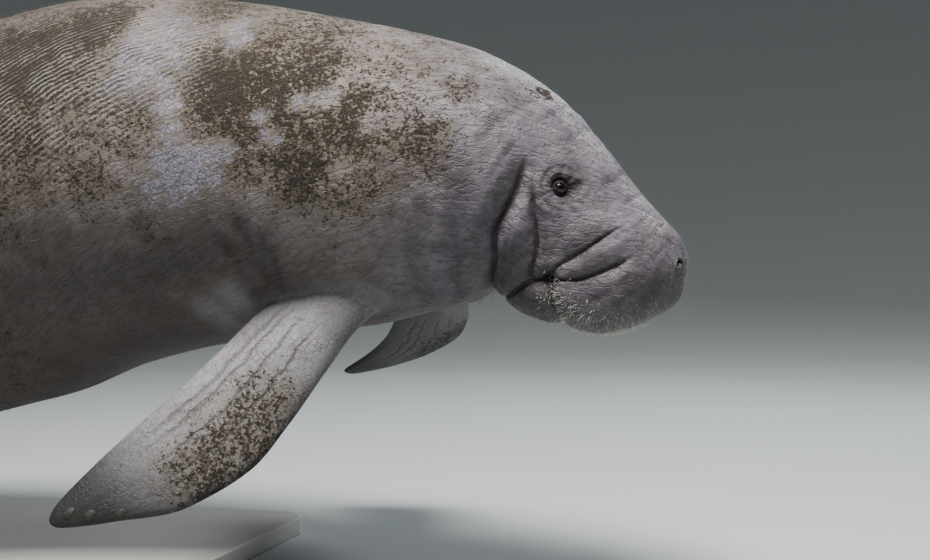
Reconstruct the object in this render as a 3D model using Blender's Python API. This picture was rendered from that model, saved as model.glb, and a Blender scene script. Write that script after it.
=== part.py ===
# A manatee, life size, swimming with its head bent down, on a plain display stand.
# Metres, +Z up, +X toward the head, +Y the animal's left side. The origin is the centre of
# the underside of the stand's base. Distances called back run from the snout along the body.

import math

import bmesh
import bpy
import numpy as np
from mathutils import Vector

# Driving sizes of the whole animal
BODY_LENGTH = 3.00
EYE_LEVEL = 0.45              # height over the floor of the level line through the snout
SNOUT_X = 1.280
SNOUT_Z = EYE_LEVEL - 0.043
PART_GAP = 0.0003             # clear space between touching nodes

# How the body's centre line slopes, in degrees, each bend over a stretch back from the snout
HEAD_BEND = (-37.0, 0.17, 0.47)
BACK_BEND = (13.0, 0.75, 1.20)
RUMP_BEND = (-6.0, 1.50, 2.00)
TAIL_BEND = (-6.0, 2.00, 2.60)

# Sections of the body: distance back, half width, top and bottom over the centre line
BODY_SECTIONS = (
    (0.000, 0.000, 0.016, 0.016),      # snout
    (0.010, 0.045, 0.042, -0.014),
    (0.030, 0.079, 0.071, -0.053),     # nostrils
    (0.060, 0.098, 0.091, -0.086),
    (0.100, 0.106, 0.099, -0.103),     # lip pad
    (0.140, 0.108, 0.108, -0.119),     # corner of the mouth
    (0.180, 0.112, 0.120, -0.129),     # eyes and chin
    (0.220, 0.123, 0.134, -0.133),     # jowl
    (0.260, 0.136, 0.151, -0.162),     # neck fold
    (0.300, 0.151, 0.167, -0.179),
    (0.380, 0.178, 0.195, -0.195),     # neck
    (0.500, 0.214, 0.228, -0.220),     # shoulders
    (0.700, 0.262, 0.269, -0.243),
    (0.900, 0.297, 0.290, -0.281),     # chest
    (1.100, 0.321, 0.281, -0.317),
    (1.350, 0.331, 0.268, -0.322),     # belly, the widest
    (1.650, 0.311, 0.243, -0.280),
    (1.900, 0.266, 0.205, -0.216),     # rump
    (2.100, 0.212, 0.160, -0.150),
    (2.250, 0.184, 0.121, -0.109),     # waist of the tail
    (2.400, 0.220, 0.086, -0.076),
    (2.560, 0.304, 0.053, -0.046),     # paddle
    (2.690, 0.341, 0.038, -0.033),
    (2.830, 0.310, 0.027, -0.024),
    (2.940, 0.214, 0.019, -0.017),
    (3.000, 0.000, 0.000, 0.000),      # end of the paddle
)

# How much wider the lower half of a section is: distance back, share of the half width
LOWER_FULLNESS = ((0.0, 0.04), (0.05, 0.10), (0.10, 0.12), (0.22, 0.06), (0.45, 0.10), (0.9, 0.07),
                  (1.9, 0.03), (2.3, 0.0))

# How square a section is, as the power of a superellipse
SQUARENESS = ((0.0, 2.0), (0.05, 2.35), (0.12, 2.5), (0.22, 2.2), (0.5, 2.1), (1.3, 2.05), (3.0, 2.0))

# The paddle thins toward its rim: distance back, half thickness at the rim
RIM_THICKNESS = ((2.2, 0.0), (2.45, 0.008), (2.8, 0.010), (3.0, 0.010))
RIM_POWER = 1.7

# Spacing of the rings along the body by distance back, and the points round a ring. The head's
# surface is finer than the trunk's.
HEAD_STEP = ((0.0, 0.0045), (0.03, 0.0075), (0.32, 0.0075), (0.5, 0.05), (3.0, 0.10))
HEAD_POINTS = 72
TRUNK_STEP = ((0.0, 0.03), (0.20, 0.012), (0.34, 0.013), (0.50, 0.034), (0.90, 0.066), (2.20, 0.062),
              (2.70, 0.054), (2.94, 0.024), (3.0, 0.010))
TRUNK_POINTS = 36
CLOSE_ANGLE = (2.05, 0.55, 1.2)     # where points lie closest, over what spread, how much closer


def eased(start, end, value):
    """0 before start, 1 after end, smooth between."""
    share = np.clip((value - start) / (end - start), 0.0, 1.0)
    return share * share * (3.0 - 2.0 * share)


def smooth_through(places, sizes, at):
    """A smooth curve through (place, size) that never overshoots them."""
    places = np.asarray(places, float)
    sizes = np.asarray(sizes, float)
    gaps = np.diff(places)
    slopes = np.diff(sizes) / gaps
    ends = np.zeros(len(places))
    ends[0], ends[-1] = slopes[0], slopes[-1]
    for i in range(1, len(places) - 1):
        if slopes[i - 1] * slopes[i] > 0.0:
            near = 2.0 * gaps[i] + gaps[i - 1]
            far = gaps[i] + 2.0 * gaps[i - 1]
            ends[i] = (near + far) / (near / slopes[i - 1] + far / slopes[i])
    at = np.clip(at, places[0], places[-1])
    index = np.clip(np.searchsorted(places, at, side="right") - 1, 0, len(gaps) - 1)
    share = (at - places[index]) / gaps[index]
    square, cube = share ** 2, share ** 3
    level = sizes[index] * (2 * cube - 3 * square + 1) + sizes[index + 1] * (3 * square - 2 * cube)
    return level + gaps[index] * (ends[index] * (cube - 2 * square + share)
                                  + ends[index + 1] * (cube - square))


def from_pairs(pairs, at):
    """The smooth curve through a named list of (place, size) pairs."""
    return smooth_through([pair[0] for pair in pairs], [pair[1] for pair in pairs], at)


def round_ends(back):
    """Stretches the distance near both ends, so that the sizes close there in round caps."""
    return np.arccos(np.clip(1.0 - 2.0 * back / BODY_LENGTH, -1.0, 1.0))


def body_size(column, back):
    places = round_ends(np.array([row[0] for row in BODY_SECTIONS]))
    return smooth_through(places, [row[column] for row in BODY_SECTIONS], round_ends(back))


def line_slope(back):
    """Slope of the body's centre line, in radians, nose down below zero."""
    turn = HEAD_BEND[0] * (1.0 - eased(HEAD_BEND[1], HEAD_BEND[2], back))
    for angle, start, end in (BACK_BEND, RUMP_BEND, TAIL_BEND):
        turn = turn + angle * eased(start, end, back)
    return np.radians(turn)


def build_centre_line(step=0.001):
    """Distances, x and z of the centre line, summed from its slope."""
    back = np.arange(0.0, BODY_LENGTH + step, step)
    slope = line_slope(back)
    run_x = np.concatenate(([0.0], np.cumsum(0.5 * (np.cos(slope[1:]) + np.cos(slope[:-1])) * step)))
    run_z = np.concatenate(([0.0], np.cumsum(0.5 * (np.sin(slope[1:]) + np.sin(slope[:-1])) * step)))
    return back, SNOUT_X - run_x, SNOUT_Z - run_z


LINE_BACK, LINE_X, LINE_Z = build_centre_line()


def line_point(back, level=0.0):
    """World x and z of a place along the centre line and above it, square to it."""
    slope = line_slope(back)
    x = np.interp(back, LINE_BACK, LINE_X) - level * np.sin(slope)
    z = np.interp(back, LINE_BACK, LINE_Z) + level * np.cos(slope)
    return x, z


def head_place(back, up):
    """World x and z of a place on the head, along and above its straight axis."""
    slope = math.radians(HEAD_BEND[0])
    x = SNOUT_X - back * math.cos(slope) - up * math.sin(slope)
    z = SNOUT_Z - back * math.sin(slope) + up * math.cos(slope)
    return x, z


# Folds of the head and neck, each a path of (back, up) places on the head's axis as seen from
# the side, deepest in its middle, with its depth and half width
MOUTH_LINE = (((0.098, -0.112), (0.110, -0.098), (0.128, -0.077), (0.151, -0.060)), 0.008, 0.010)
CHIN_FOLD = (((0.208, -0.138), (0.188, -0.119), (0.167, -0.080), (0.151, -0.060)), 0.005, 0.011)
JOWL_FOLD = (((0.246, 0.040), (0.223, 0.010), (0.200, -0.018), (0.184, -0.042), (0.172, -0.075)),
             0.008, 0.014)
NECK_FOLD = (((0.268, 0.060), (0.254, 0.013), (0.246, -0.041), (0.236, -0.066), (0.224, -0.091),
              (0.222, -0.130)), 0.015, 0.015)
CHEEK_FOLD = (((0.120, 0.032), (0.130, 0.016), (0.141, -0.013), (0.153, -0.048)), 0.003, 0.012)
LIP_FOLD = (((0.084, 0.020), (0.088, 0.006), (0.109, -0.027), (0.138, -0.057)), 0.005, 0.012)
FIRST_ROLL = (((0.300, -0.040), (0.283, -0.083), (0.263, -0.118), (0.249, -0.151)), 0.006, 0.014)
SECOND_ROLL = (((0.345, -0.060), (0.321, -0.113), (0.304, -0.150), (0.289, -0.190)), 0.005, 0.015)
HEAD_FOLDS = (MOUTH_LINE, CHIN_FOLD, JOWL_FOLD, NECK_FOLD, CHEEK_FOLD, LIP_FOLD, FIRST_ROLL,
              SECOND_ROLL)

# Swellings and hollows of the head: distance back, angle from the top in degrees, half length
# back, half spread in degrees, height
UPPER_LIP_LOBE = (0.078, 135.0, 0.034, 26.0, 0.006)
LIP_CLEFT = (0.068, 180.0, 0.036, 11.0, -0.008)
NOSTRIL_PAD = (0.030, 30.0, 0.016, 14.0, 0.003)
EYE_HOLLOW = (0.209, 68.0, 0.022, 9.0, -0.006)
JOWL = (0.228, 118.0, 0.018, 22.0, 0.007)
CHIN_LOBE = (0.150, 160.0, 0.026, 26.0, 0.003)
HEAD_SWELLINGS = (UPPER_LIP_LOBE, LIP_CLEFT, NOSTRIL_PAD, EYE_HOLLOW, JOWL, CHIN_LOBE)


def fold_depth(x, z, fold):
    """Depth of a fold at side-view places x, z: a soft groove that fades at its ends."""
    path, depth, half_width = fold
    points = np.array([head_place(back, up) for back, up in path])
    lengths = np.concatenate(([0.0], np.cumsum(np.hypot(*np.diff(points, axis=0).T))))
    nearest = np.full(np.shape(x), 9.0)
    along = np.zeros(np.shape(x))
    for i in range(len(points) - 1):
        start = points[i]
        run = points[i + 1] - start
        share = np.clip(((x - start[0]) * run[0] + (z - start[1]) * run[1]) / run.dot(run), 0.0, 1.0)
        distance = np.hypot(x - start[0] - share * run[0], z - start[1] - share * run[1])
        closer = distance < nearest
        nearest = np.where(closer, distance, nearest)
        along = np.where(closer, (lengths[i] + share * (lengths[i + 1] - lengths[i])) / lengths[-1], along)
    fade = 0.2 + 0.8 * eased(0.0, 0.18, along)
    return depth * fade * np.exp(-(nearest / half_width) ** 2)


def swelling(back, angle, bump):
    """Height of a swelling or hollow, alike on both sides."""
    centre, place, length, spread, height = bump
    turn = np.abs(np.degrees(np.arctan2(np.sin(angle), np.cos(angle))))
    return height * np.exp(-((back - centre) / length) ** 2 - ((turn - place) / spread) ** 2)


def body_surface(back, angle, proud=0.0):
    """Points on the skin. The angle runs from the back (0) down the right side to the belly."""
    back, angle = np.broadcast_arrays(np.asarray(back, float), np.asarray(angle, float))
    across, up = np.sin(angle), np.cos(angle)
    power = 2.0 / from_pairs(SQUARENESS, back)
    width = body_size(1, back) * (1.0 - from_pairs(LOWER_FULLNESS, back) * up)
    top, bottom = body_size(2, back), body_size(3, back)
    middle, height = 0.5 * (top + bottom), 0.5 * (top - bottom)
    rim = np.minimum(from_pairs(RIM_THICKNESS, back), 0.6 * height)
    paddle = eased(2.2, 2.6, back)
    bow = (1.0 - paddle) * np.abs(up) ** power + paddle * np.abs(up) ** RIM_POWER
    level = middle + np.sign(up) * ((height - rim) * bow + rim * np.abs(up) ** 0.35)
    y = -width * np.sign(across) * np.abs(across) ** power
    # outward direction in the section's plane
    out_y = -across / np.maximum(width, 0.02)
    out_up = up / np.maximum(height, 0.02)
    out_length = np.hypot(out_y, out_up)
    x, z = line_point(back, level)
    on_head = eased(0.0, 0.03, back) * (1.0 - eased(0.36, 0.44, back))
    relief = sum(swelling(back, angle, bump) for bump in HEAD_SWELLINGS)
    relief = relief - sum(fold_depth(x, z, fold) for fold in HEAD_FOLDS)
    push = proud + relief * on_head
    x, z = line_point(back, level + push * out_up / out_length)
    return np.stack([x, y + push * out_y / out_length, z], axis=-1)


def surface_frame(back, angle):
    """A point on the skin with its outward, forward and upward directions."""
    point = Vector(body_surface(back, angle))
    along = Vector(body_surface(back - 0.004, angle)) - Vector(body_surface(back + 0.004, angle))
    around = Vector(body_surface(back, angle - 0.05)) - Vector(body_surface(back, angle + 0.05))
    outward = along.cross(around).normalized()
    line_x, line_z = line_point(back)
    if outward.dot(point - Vector((line_x, 0.0, line_z))) < 0.0:
        outward.negate()
    forward = (along - outward * along.dot(outward)).normalized()
    upward = outward.cross(forward).normalized()
    if upward.z < 0.0:
        upward.negate()
    return point, outward, forward, upward


def spread_evenly(fine, weight, count, first, last):
    """Places that lie closer where the weight is higher, without the two ends asked to go."""
    total = np.concatenate(([0.0], np.cumsum(0.5 * (weight[1:] + weight[:-1]) * np.diff(fine))))
    return np.interp(np.linspace(0.0, total[-1], count + 1)[first:last], total, fine)


def ring_distances(step):
    fine = np.linspace(0.0, BODY_LENGTH, 6001)
    weight = 1.0 / from_pairs(step, fine)
    count = int(round(float(np.sum(weight)) * (fine[1] - fine[0])))
    return spread_evenly(fine, weight, count, 1, -1)


def ring_angles(points):
    """Angles round a ring, closest over the cheeks and the lower flanks."""
    middle, spread, extra = CLOSE_ANGLE
    fine = np.linspace(0.0, math.pi, 2001)
    weight = 1.0 + extra * np.exp(-((fine - middle) / spread) ** 2)
    half = spread_evenly(fine, weight, points // 2, 0, None)
    return np.concatenate((half, 2.0 * math.pi - half[-2:0:-1]))


def mesh_from_rings(rings, first_tip, last_tip):
    """A closed mesh from rings of points, with a fan of triangles at each end."""
    bm = bmesh.new()
    loops = [[bm.verts.new(point) for point in ring] for ring in rings]
    tips = bm.verts.new(first_tip), bm.verts.new(last_tip)
    count = len(loops[0])
    for j in range(count):
        k = (j + 1) % count
        bm.faces.new((tips[0], loops[0][j], loops[0][k]))
        bm.faces.new((tips[1], loops[-1][k], loops[-1][j]))
        for lower, upper in zip(loops[:-1], loops[1:]):
            bm.faces.new((lower[j], upper[j], upper[k], lower[k]))
    bmesh.ops.triangulate(bm, faces=bm.faces[:])
    bmesh.ops.recalc_face_normals(bm, faces=bm.faces[:])
    return bm


def body_mesh(step, points, proud=0.0):
    """The whole skin as one closed mesh, or one that stands proud of it all over."""
    angles = ring_angles(points)
    rings = [body_surface(back, angles, proud) for back in ring_distances(step)]
    tips = []
    for back, way in ((0.0, 1.0), (BODY_LENGTH, -1.0)):
        x, z = line_point(back, float(body_size(2, np.array(back))))
        slope = float(line_slope(back))
        tips.append((x + way * proud * math.cos(slope), 0.0, z + way * proud * math.sin(slope)))
    return mesh_from_rings(rings, tips[0], tips[1])


def head_mesh():
    return body_mesh(HEAD_STEP, HEAD_POINTS)


def trunk_mesh(proud=0.0):
    return body_mesh(TRUNK_STEP, TRUNK_POINTS, proud)


def add_object(name, bm, material=None):
    mesh = bpy.data.meshes.new(name)
    bm.to_mesh(mesh)
    bm.free()
    item = bpy.data.objects.new(name, mesh)
    bpy.context.collection.objects.link(item)
    if material is not None:
        mesh.materials.append(material)
    mesh.shade_smooth()
    mesh.set_sharp_from_angle(angle=math.radians(40.0))
    return item


def trim(bm, point, keep_side):
    """Cuts a closed mesh by a plane, keeps the side that keep_side points to, and caps it."""
    geometry = bm.verts[:] + bm.edges[:] + bm.faces[:]
    cut = bmesh.ops.bisect_plane(bm, geom=geometry, dist=1e-7, plane_co=point,
                                 plane_no=keep_side, clear_inner=True)
    rim = [item for item in cut["geom_cut"] if isinstance(item, bmesh.types.BMEdge)]
    bmesh.ops.edgenet_fill(bm, edges=rim)
    bmesh.ops.triangulate(bm, faces=bm.faces[:])
    bmesh.ops.recalc_face_normals(bm, faces=bm.faces[:])


def apply_boolean(item, other, operation):
    """Joins or cuts an object by another, which is then removed."""
    modifier = item.modifiers.new(operation.lower(), "BOOLEAN")
    modifier.operation = operation
    modifier.solver = "EXACT"
    modifier.object = other
    graph = bpy.context.evaluated_depsgraph_get()
    result = bpy.data.meshes.new_from_object(item.evaluated_get(graph))
    item.modifiers.remove(modifier)
    item.data = result
    bpy.data.objects.remove(other)
    keep_largest(item)


def keep_largest(item):
    """Keeps the largest closed surface of an object."""
    bm = bmesh.new()
    bm.from_mesh(item.data)
    unseen = set(bm.verts)
    islands = []
    while unseen:
        start = unseen.pop()
        island, edge = {start}, [start]
        while edge:
            for link in edge.pop().link_edges:
                for other in link.verts:
                    if other in unseen:
                        unseen.remove(other)
                        island.add(other)
                        edge.append(other)
        islands.append(island)
    islands.sort(key=len, reverse=True)
    for island in islands[1:]:
        bmesh.ops.delete(bm, geom=list(island), context="VERTS")
    bmesh.ops.triangulate(bm, faces=bm.faces[:])
    bm.to_mesh(item.data)
    bm.free()


def ball(name, centre, axes, radii, rows, columns):
    """An ellipsoid with its three axes and radii."""
    rings = []
    for row in range(1, rows):
        level = math.pi * row / rows
        ring = []
        for column in range(columns):
            turn = 2.0 * math.pi * column / columns
            ring.append(centre + axes[0] * (radii[0] * math.cos(level))
                        + axes[1] * (radii[1] * math.sin(level) * math.cos(turn))
                        + axes[2] * (radii[2] * math.sin(level) * math.sin(turn)))
        rings.append(ring)
    pole = axes[0] * radii[0]
    return add_object(name, mesh_from_rings(rings, centre + pole, centre - pole))


def sausage(name, path, face, radius, sides=8):
    """A closed tube with pointed ends along a flat path that faces one way."""
    rings = []
    for i, point in enumerate(path):
        ahead = (path[min(i + 1, len(path) - 1)] - path[max(i - 1, 0)]).normalized()
        aside = ahead.cross(face)
        rings.append([point + (face * math.cos(turn) + aside * math.sin(turn)) * radius
                      for turn in (2.0 * math.pi * k / sides for k in range(sides))])
    first_tip = path[0] + (path[0] - path[1]).normalized() * radius
    last_tip = path[-1] + (path[-1] - path[-2]).normalized() * radius
    return add_object(name, mesh_from_rings(rings, first_tip, last_tip))


def oval_ring(name, centre, outward, wide, tall, radii, thickness, sides=8, columns=20):
    """An oval ring, such as an eyelid, lying across the outward direction."""
    bm = bmesh.new()
    loops = []
    for column in range(columns):
        turn = 2.0 * math.pi * column / columns
        reach = wide * (radii[0] * math.cos(turn)) + tall * (radii[1] * math.sin(turn))
        away = reach.normalized()
        middle = centre + reach
        bends = [2.0 * math.pi * k / sides for k in range(sides)]
        offsets = [(away * math.cos(bend) + outward * math.sin(bend)) * thickness for bend in bends]
        loops.append([bm.verts.new(middle + offset) for offset in offsets])
    for i in range(columns):
        ahead = loops[(i + 1) % columns]
        for k in range(sides):
            m = (k + 1) % sides
            bm.faces.new((loops[i][k], ahead[k], ahead[m], loops[i][m]))
    bmesh.ops.triangulate(bm, faces=bm.faces[:])
    bmesh.ops.recalc_face_normals(bm, faces=bm.faces[:])
    return add_object(name, bm)


def new_material(name, colour, roughness, metallic=0.0):
    material = bpy.data.materials.new(name)
    material.use_nodes = True
    shader = material.node_tree.nodes["Principled BSDF"]
    shader.inputs["Base Color"].default_value = (*colour, 1.0)
    shader.inputs["Roughness"].default_value = roughness
    shader.inputs["Metallic"].default_value = metallic
    return material


# Places on the head's axis, back and up, that the cuts through the head run through
MOUTH_CORNER = (0.151, -0.060)
LIP_BOTTOM = (0.105, -0.103)
CHIN_BACK = (0.200, -0.132)
NECK_TOP = (0.289, 0.149)
NECK_BOTTOM = (0.224, -0.126)

# Where the body is parted behind the head, square to its centre line
BODY_CUTS = (("neck", 0.43), ("torso_front", 0.95), ("torso_middle", 1.50), ("torso_rear", 2.02),
             ("tail_stock", 2.36), ("tail_paddle", None))


def plane_through(first, second):
    """A plane through two places of the head's side view, facing the snout."""
    x1, z1 = head_place(*first)
    x2, z2 = head_place(*second)
    facing = Vector((z1 - z2, 0.0, x2 - x1)).normalized()
    if facing.x < 0.0:
        facing.negate()
    return Vector((x1, 0.0, z1)), facing


def plane_across(back):
    """A plane square to the centre line, facing the snout."""
    x, z = line_point(back)
    slope = float(line_slope(back))
    return Vector((x, 0.0, z)), Vector((math.cos(slope), 0.0, math.sin(slope)))


def add_piece(name, material, bm, planes):
    for point, keep_side in planes:
        trim(bm, point + keep_side * (PART_GAP / 2.0), keep_side)
    return add_object(name, bm, material)


def add_head(skin, lip):
    """Muzzle, lower jaw and head, parted at the mouth, the chin fold and behind the lip pad."""
    x, z = head_place(*MOUTH_CORNER)
    corner = Vector((x, 0.0, z))
    slope = math.radians(HEAD_BEND[0])
    snout_way = Vector((math.cos(slope), 0.0, math.sin(slope)))
    mouth, mouth_way = plane_through(MOUTH_CORNER, LIP_BOTTOM)
    chin, chin_way = plane_through(MOUTH_CORNER, CHIN_BACK)
    neck, neck_way = plane_through(NECK_TOP, NECK_BOTTOM)
    muzzle = add_piece("muzzle", lip, head_mesh(), [(corner, snout_way), (mouth, mouth_way)])
    add_piece("lower_jaw", lip, head_mesh(), [(mouth, -mouth_way), (chin, chin_way), (neck, neck_way)])
    planes = [(neck, neck_way), (corner, -snout_way), (chin, -chin_way)]
    return muzzle, add_piece("head", skin, head_mesh(), planes)


def add_trunk(skin):
    """Neck, torso and tail, each between two planes."""
    ahead = plane_through(NECK_TOP, NECK_BOTTOM)
    for name, back in BODY_CUTS:
        planes = [(ahead[0], -ahead[1])]
        if back is not None:
            ahead = plane_across(back)
            planes.append(ahead)
        add_piece(name, skin, trunk_mesh(), planes)


# Eyes: an eyeball set in the skin, with a raised lid round it
EYE_BACK = 0.209
EYE_ANGLE = math.radians(68.0)
EYE_RADIUS = 0.0105
EYE_DEPTH = 0.0062            # centre of the eyeball under the skin
LID_SIZE = (0.0122, 0.0094)
LID_THICKNESS = 0.0042
LID_SINK = 0.0018              # middle of the lid's ring under the skin


def add_eyes(head, dark):
    for name, side in (("right", 1.0), ("left", -1.0)):
        point, outward, forward, upward = surface_frame(EYE_BACK, side * EYE_ANGLE)
        centre = point - outward * EYE_DEPTH
        axes = (outward, forward, upward)
        middle = point - outward * LID_SINK
        lid = oval_ring("lid", middle, outward, forward, upward, LID_SIZE, LID_THICKNESS)
        apply_boolean(head, lid, "UNION")
        socket = ball("socket", centre, axes, (EYE_RADIUS + PART_GAP,) * 3, 8, 14)
        apply_boolean(head, socket, "DIFFERENCE")
        eye = ball("eye_" + name, centre, axes, (EYE_RADIUS,) * 3, 8, 14)
        eye.data.materials.append(dark)


# Nostrils: a crescent pit round each valve
NOSTRIL_BACK = 0.024
NOSTRIL_ANGLE = math.radians(33.0)
NOSTRIL_RADIUS = 0.0090
NOSTRIL_PIT = 0.0034
NOSTRIL_SWEEP = (-20.0, 200.0)
NOSTRIL_STEPS = 8


def cut_nostrils(muzzle):
    first, last = NOSTRIL_SWEEP
    for side in (1.0, -1.0):
        point, outward, forward, upward = surface_frame(NOSTRIL_BACK, side * NOSTRIL_ANGLE)
        path = []
        for i in range(NOSTRIL_STEPS + 1):
            turn = math.radians(first + (last - first) * i / NOSTRIL_STEPS)
            path.append(point + (forward * math.cos(turn) + upward * math.sin(turn)) * NOSTRIL_RADIUS)
        pit = sausage("nostril", path, outward, NOSTRIL_PIT)
        apply_boolean(muzzle, pit, "DIFFERENCE")


# Flippers: shoulder inside the body, elbow and tip, and the way to the leading edge
RIGHT_FLIPPER = {
    "shoulder": (0.912, -0.040, EYE_LEVEL + 0.064),
    "elbow": (0.731, -0.220, EYE_LEVEL - 0.114),
    "tip": (0.519, -0.340, EYE_LEVEL - 0.315),
    "lead": (0.68, -0.10, -0.73),
}
LEFT_FLIPPER = {
    "shoulder": (0.928, 0.045, EYE_LEVEL + 0.055),
    "elbow": (0.845, 0.335, EYE_LEVEL - 0.096),
    "tip": (0.627, 0.460, EYE_LEVEL - 0.173),
    "lead": (0.62, 0.78, 0.02),
}

# Outline of a flipper: share of its length, trailing half, leading half, half thickness
FLIPPER_OUTLINE = (
    (0.00, 0.040, 0.050, 0.040),
    (0.24, 0.048, 0.059, 0.037),
    (0.36, 0.048, 0.078, 0.032),     # out of the body
    (0.50, 0.039, 0.103, 0.026),
    (0.62, 0.032, 0.118, 0.022),     # widest
    (0.76, 0.028, 0.104, 0.017),
    (0.90, 0.021, 0.053, 0.012),
    (0.97, 0.014, 0.023, 0.008),
    (1.00, 0.000, 0.000, 0.000),
)
FLIPPER_RINGS = 20
FLIPPER_POINTS = 16
TRAILING_THIN = 0.30          # how much thinner the trailing half is


def flipper_frame(limb, share):
    """Point, direction, way to the leading edge and facing of a flipper's centre line."""
    shoulder, elbow, tip = (Vector(limb[key]) for key in ("shoulder", "elbow", "tip"))
    point = shoulder * (1 - share) ** 2 + elbow * (2 * share * (1 - share)) + tip * share ** 2
    way = ((elbow - shoulder) * (1 - share) + (tip - elbow) * share).normalized()
    lead = Vector(limb["lead"])
    lead = (lead - way * lead.dot(way)).normalized()
    return point, way, lead, way.cross(lead)


def flipper_size(column, share):
    """Outline sizes, closing in a round tip."""
    places = -np.sqrt(1.0 - np.array([row[0] for row in FLIPPER_OUTLINE]))
    sizes = [row[column] for row in FLIPPER_OUTLINE]
    return float(smooth_through(places, sizes, -math.sqrt(1.0 - share)))


def flipper_mesh(limb):
    rings = []
    for i in range(FLIPPER_RINGS):
        share = 1.0 - (1.0 - i / FLIPPER_RINGS) ** 1.35
        point, way, lead, facing = flipper_frame(limb, share)
        trail, front, thick = (flipper_size(column, share) for column in (1, 2, 3))
        ring = []
        for k in range(FLIPPER_POINTS):
            turn = 2.0 * math.pi * k / FLIPPER_POINTS
            reach = (front - trail) / 2.0 + (front + trail) / 2.0 * math.cos(turn)
            edge = 1.0 - TRAILING_THIN * max(0.0, -math.cos(turn))
            ring.append(point + lead * reach + facing * (thick * edge * math.sin(turn)))
        rings.append(ring)
    return mesh_from_rings(rings, flipper_frame(limb, 0.0)[0], flipper_frame(limb, 1.0)[0])


# Nails near a flipper's tip: share of its length, place from trailing (-1) to leading (1)
NAILS = ((0.955, 0.05), (0.925, 0.50), (0.875, 0.72))
NAIL_SIZE = (0.0045, 0.0100, 0.0065)
NAIL_SINK = 0.001


def add_flippers(skin, horn):
    for name, limb, outside in (("right", RIGHT_FLIPPER, -1.0), ("left", LEFT_FLIPPER, 1.0)):
        flipper = add_object("flipper_" + name, flipper_mesh(limb), skin)
        body = add_object("body_cutter", trunk_mesh(PART_GAP))
        apply_boolean(flipper, body, "DIFFERENCE")
        for number, (share, across) in enumerate(NAILS, 1):
            point, way, lead, facing = flipper_frame(limb, share)
            outward = facing if facing.y * outside > 0.0 else -facing
            trail, front = flipper_size(1, share), flipper_size(2, share)
            reach = (front - trail) / 2.0 + (front + trail) / 2.0 * across
            lift = flipper_size(3, share) * math.sqrt(1.0 - across ** 2) - NAIL_SINK
            centre = point + lead * reach + outward * lift
            axes = (outward, way, lead)
            pocket = ball("pocket", centre, axes, [radius + PART_GAP for radius in NAIL_SIZE], 6, 10)
            apply_boolean(flipper, pocket, "DIFFERENCE")
            nail = ball("nail_%s_%d" % (name, number), centre, axes, NAIL_SIZE, 6, 10)
            nail.data.materials.append(horn)


# Display stand: a flat base with round corners, and two rods with a collar at the foot
BASE_SIZE = (1.20, 0.70, 0.030)
BASE_CORNER = 0.06
CORNER_STEPS = 6
ROD_RADIUS = 0.0175
ROD_PLACES = (("front", 0.13), ("rear", -0.55))
COLLAR_RADIUS = 0.045
COLLAR_HEIGHT = 0.014
COLLAR_SLOPE = 0.004
ROD_SIDES = 24


def add_base(material):
    outline = []
    for x_side, y_side, start in ((1, 1, 0.0), (-1, 1, 90.0), (-1, -1, 180.0), (1, -1, 270.0)):
        for i in range(CORNER_STEPS + 1):
            turn = math.radians(start + 90.0 * i / CORNER_STEPS)
            outline.append((x_side * (BASE_SIZE[0] / 2 - BASE_CORNER) + BASE_CORNER * math.cos(turn),
                            y_side * (BASE_SIZE[1] / 2 - BASE_CORNER) + BASE_CORNER * math.sin(turn)))
    bm = bmesh.new()
    face = bm.faces.new([bm.verts.new((x, y, 0.0)) for x, y in outline])
    raised = bmesh.ops.extrude_face_region(bm, geom=[face])
    top = [item for item in raised["geom"] if isinstance(item, bmesh.types.BMVert)]
    bmesh.ops.translate(bm, vec=(0.0, 0.0, BASE_SIZE[2]), verts=top)
    bmesh.ops.recalc_face_normals(bm, faces=bm.faces[:])
    add_object("stand_base", bm, material)


def add_rod(name, x, material):
    """A rod with its collar, as long as the belly above it lets it be."""
    foot = BASE_SIZE[2] + PART_GAP
    profile = ((COLLAR_RADIUS, foot), (COLLAR_RADIUS, foot + COLLAR_HEIGHT),
               (ROD_RADIUS, foot + COLLAR_HEIGHT + COLLAR_SLOPE), (ROD_RADIUS, EYE_LEVEL))
    bm = bmesh.new()
    loops = []
    for radius, z in profile:
        turns = [2.0 * math.pi * k / ROD_SIDES for k in range(ROD_SIDES)]
        circle = [(x + radius * math.cos(turn), radius * math.sin(turn), z) for turn in turns]
        loops.append([bm.verts.new(place) for place in circle])
    for lower, upper in zip(loops[:-1], loops[1:]):
        for k in range(ROD_SIDES):
            m = (k + 1) % ROD_SIDES
            bm.faces.new((lower[k], lower[m], upper[m], upper[k]))
    bm.faces.new(loops[0][::-1])
    bm.faces.new(loops[-1])
    bmesh.ops.recalc_face_normals(bm, faces=bm.faces[:])
    rod = add_object("stand_rod_" + name, bm, material)
    body = add_object("body_cutter", trunk_mesh(PART_GAP))
    apply_boolean(rod, body, "DIFFERENCE")


def main():
    for item in list(bpy.data.objects):
        bpy.data.objects.remove(item)
    skin = new_material("skin", (0.235, 0.205, 0.195), 0.55)
    lip = new_material("lip_skin", (0.205, 0.180, 0.172), 0.50)
    dark = new_material("eye", (0.015, 0.012, 0.010), 0.12)
    horn = new_material("nail", (0.130, 0.105, 0.085), 0.40)
    pale = new_material("stand_board", (0.62, 0.60, 0.56), 0.60)
    steel = new_material("stand_steel", (0.50, 0.50, 0.50), 0.32, 1.0)
    muzzle, head = add_head(skin, lip)
    add_trunk(skin)
    add_eyes(head, dark)
    cut_nostrils(muzzle)
    add_flippers(skin, horn)
    add_base(pale)
    for name, x in ROD_PLACES:
        add_rod(name, x, steel)


main()
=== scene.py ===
# A life-size manatee model on its display stand: skin, eyes, nails, hair and finishes round the
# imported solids. Metres, +Z up, +X toward the head, +Y the animal's left side. Distances called
# back run from the snout along the body, and angles run from the back down the right side.

import math

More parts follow.
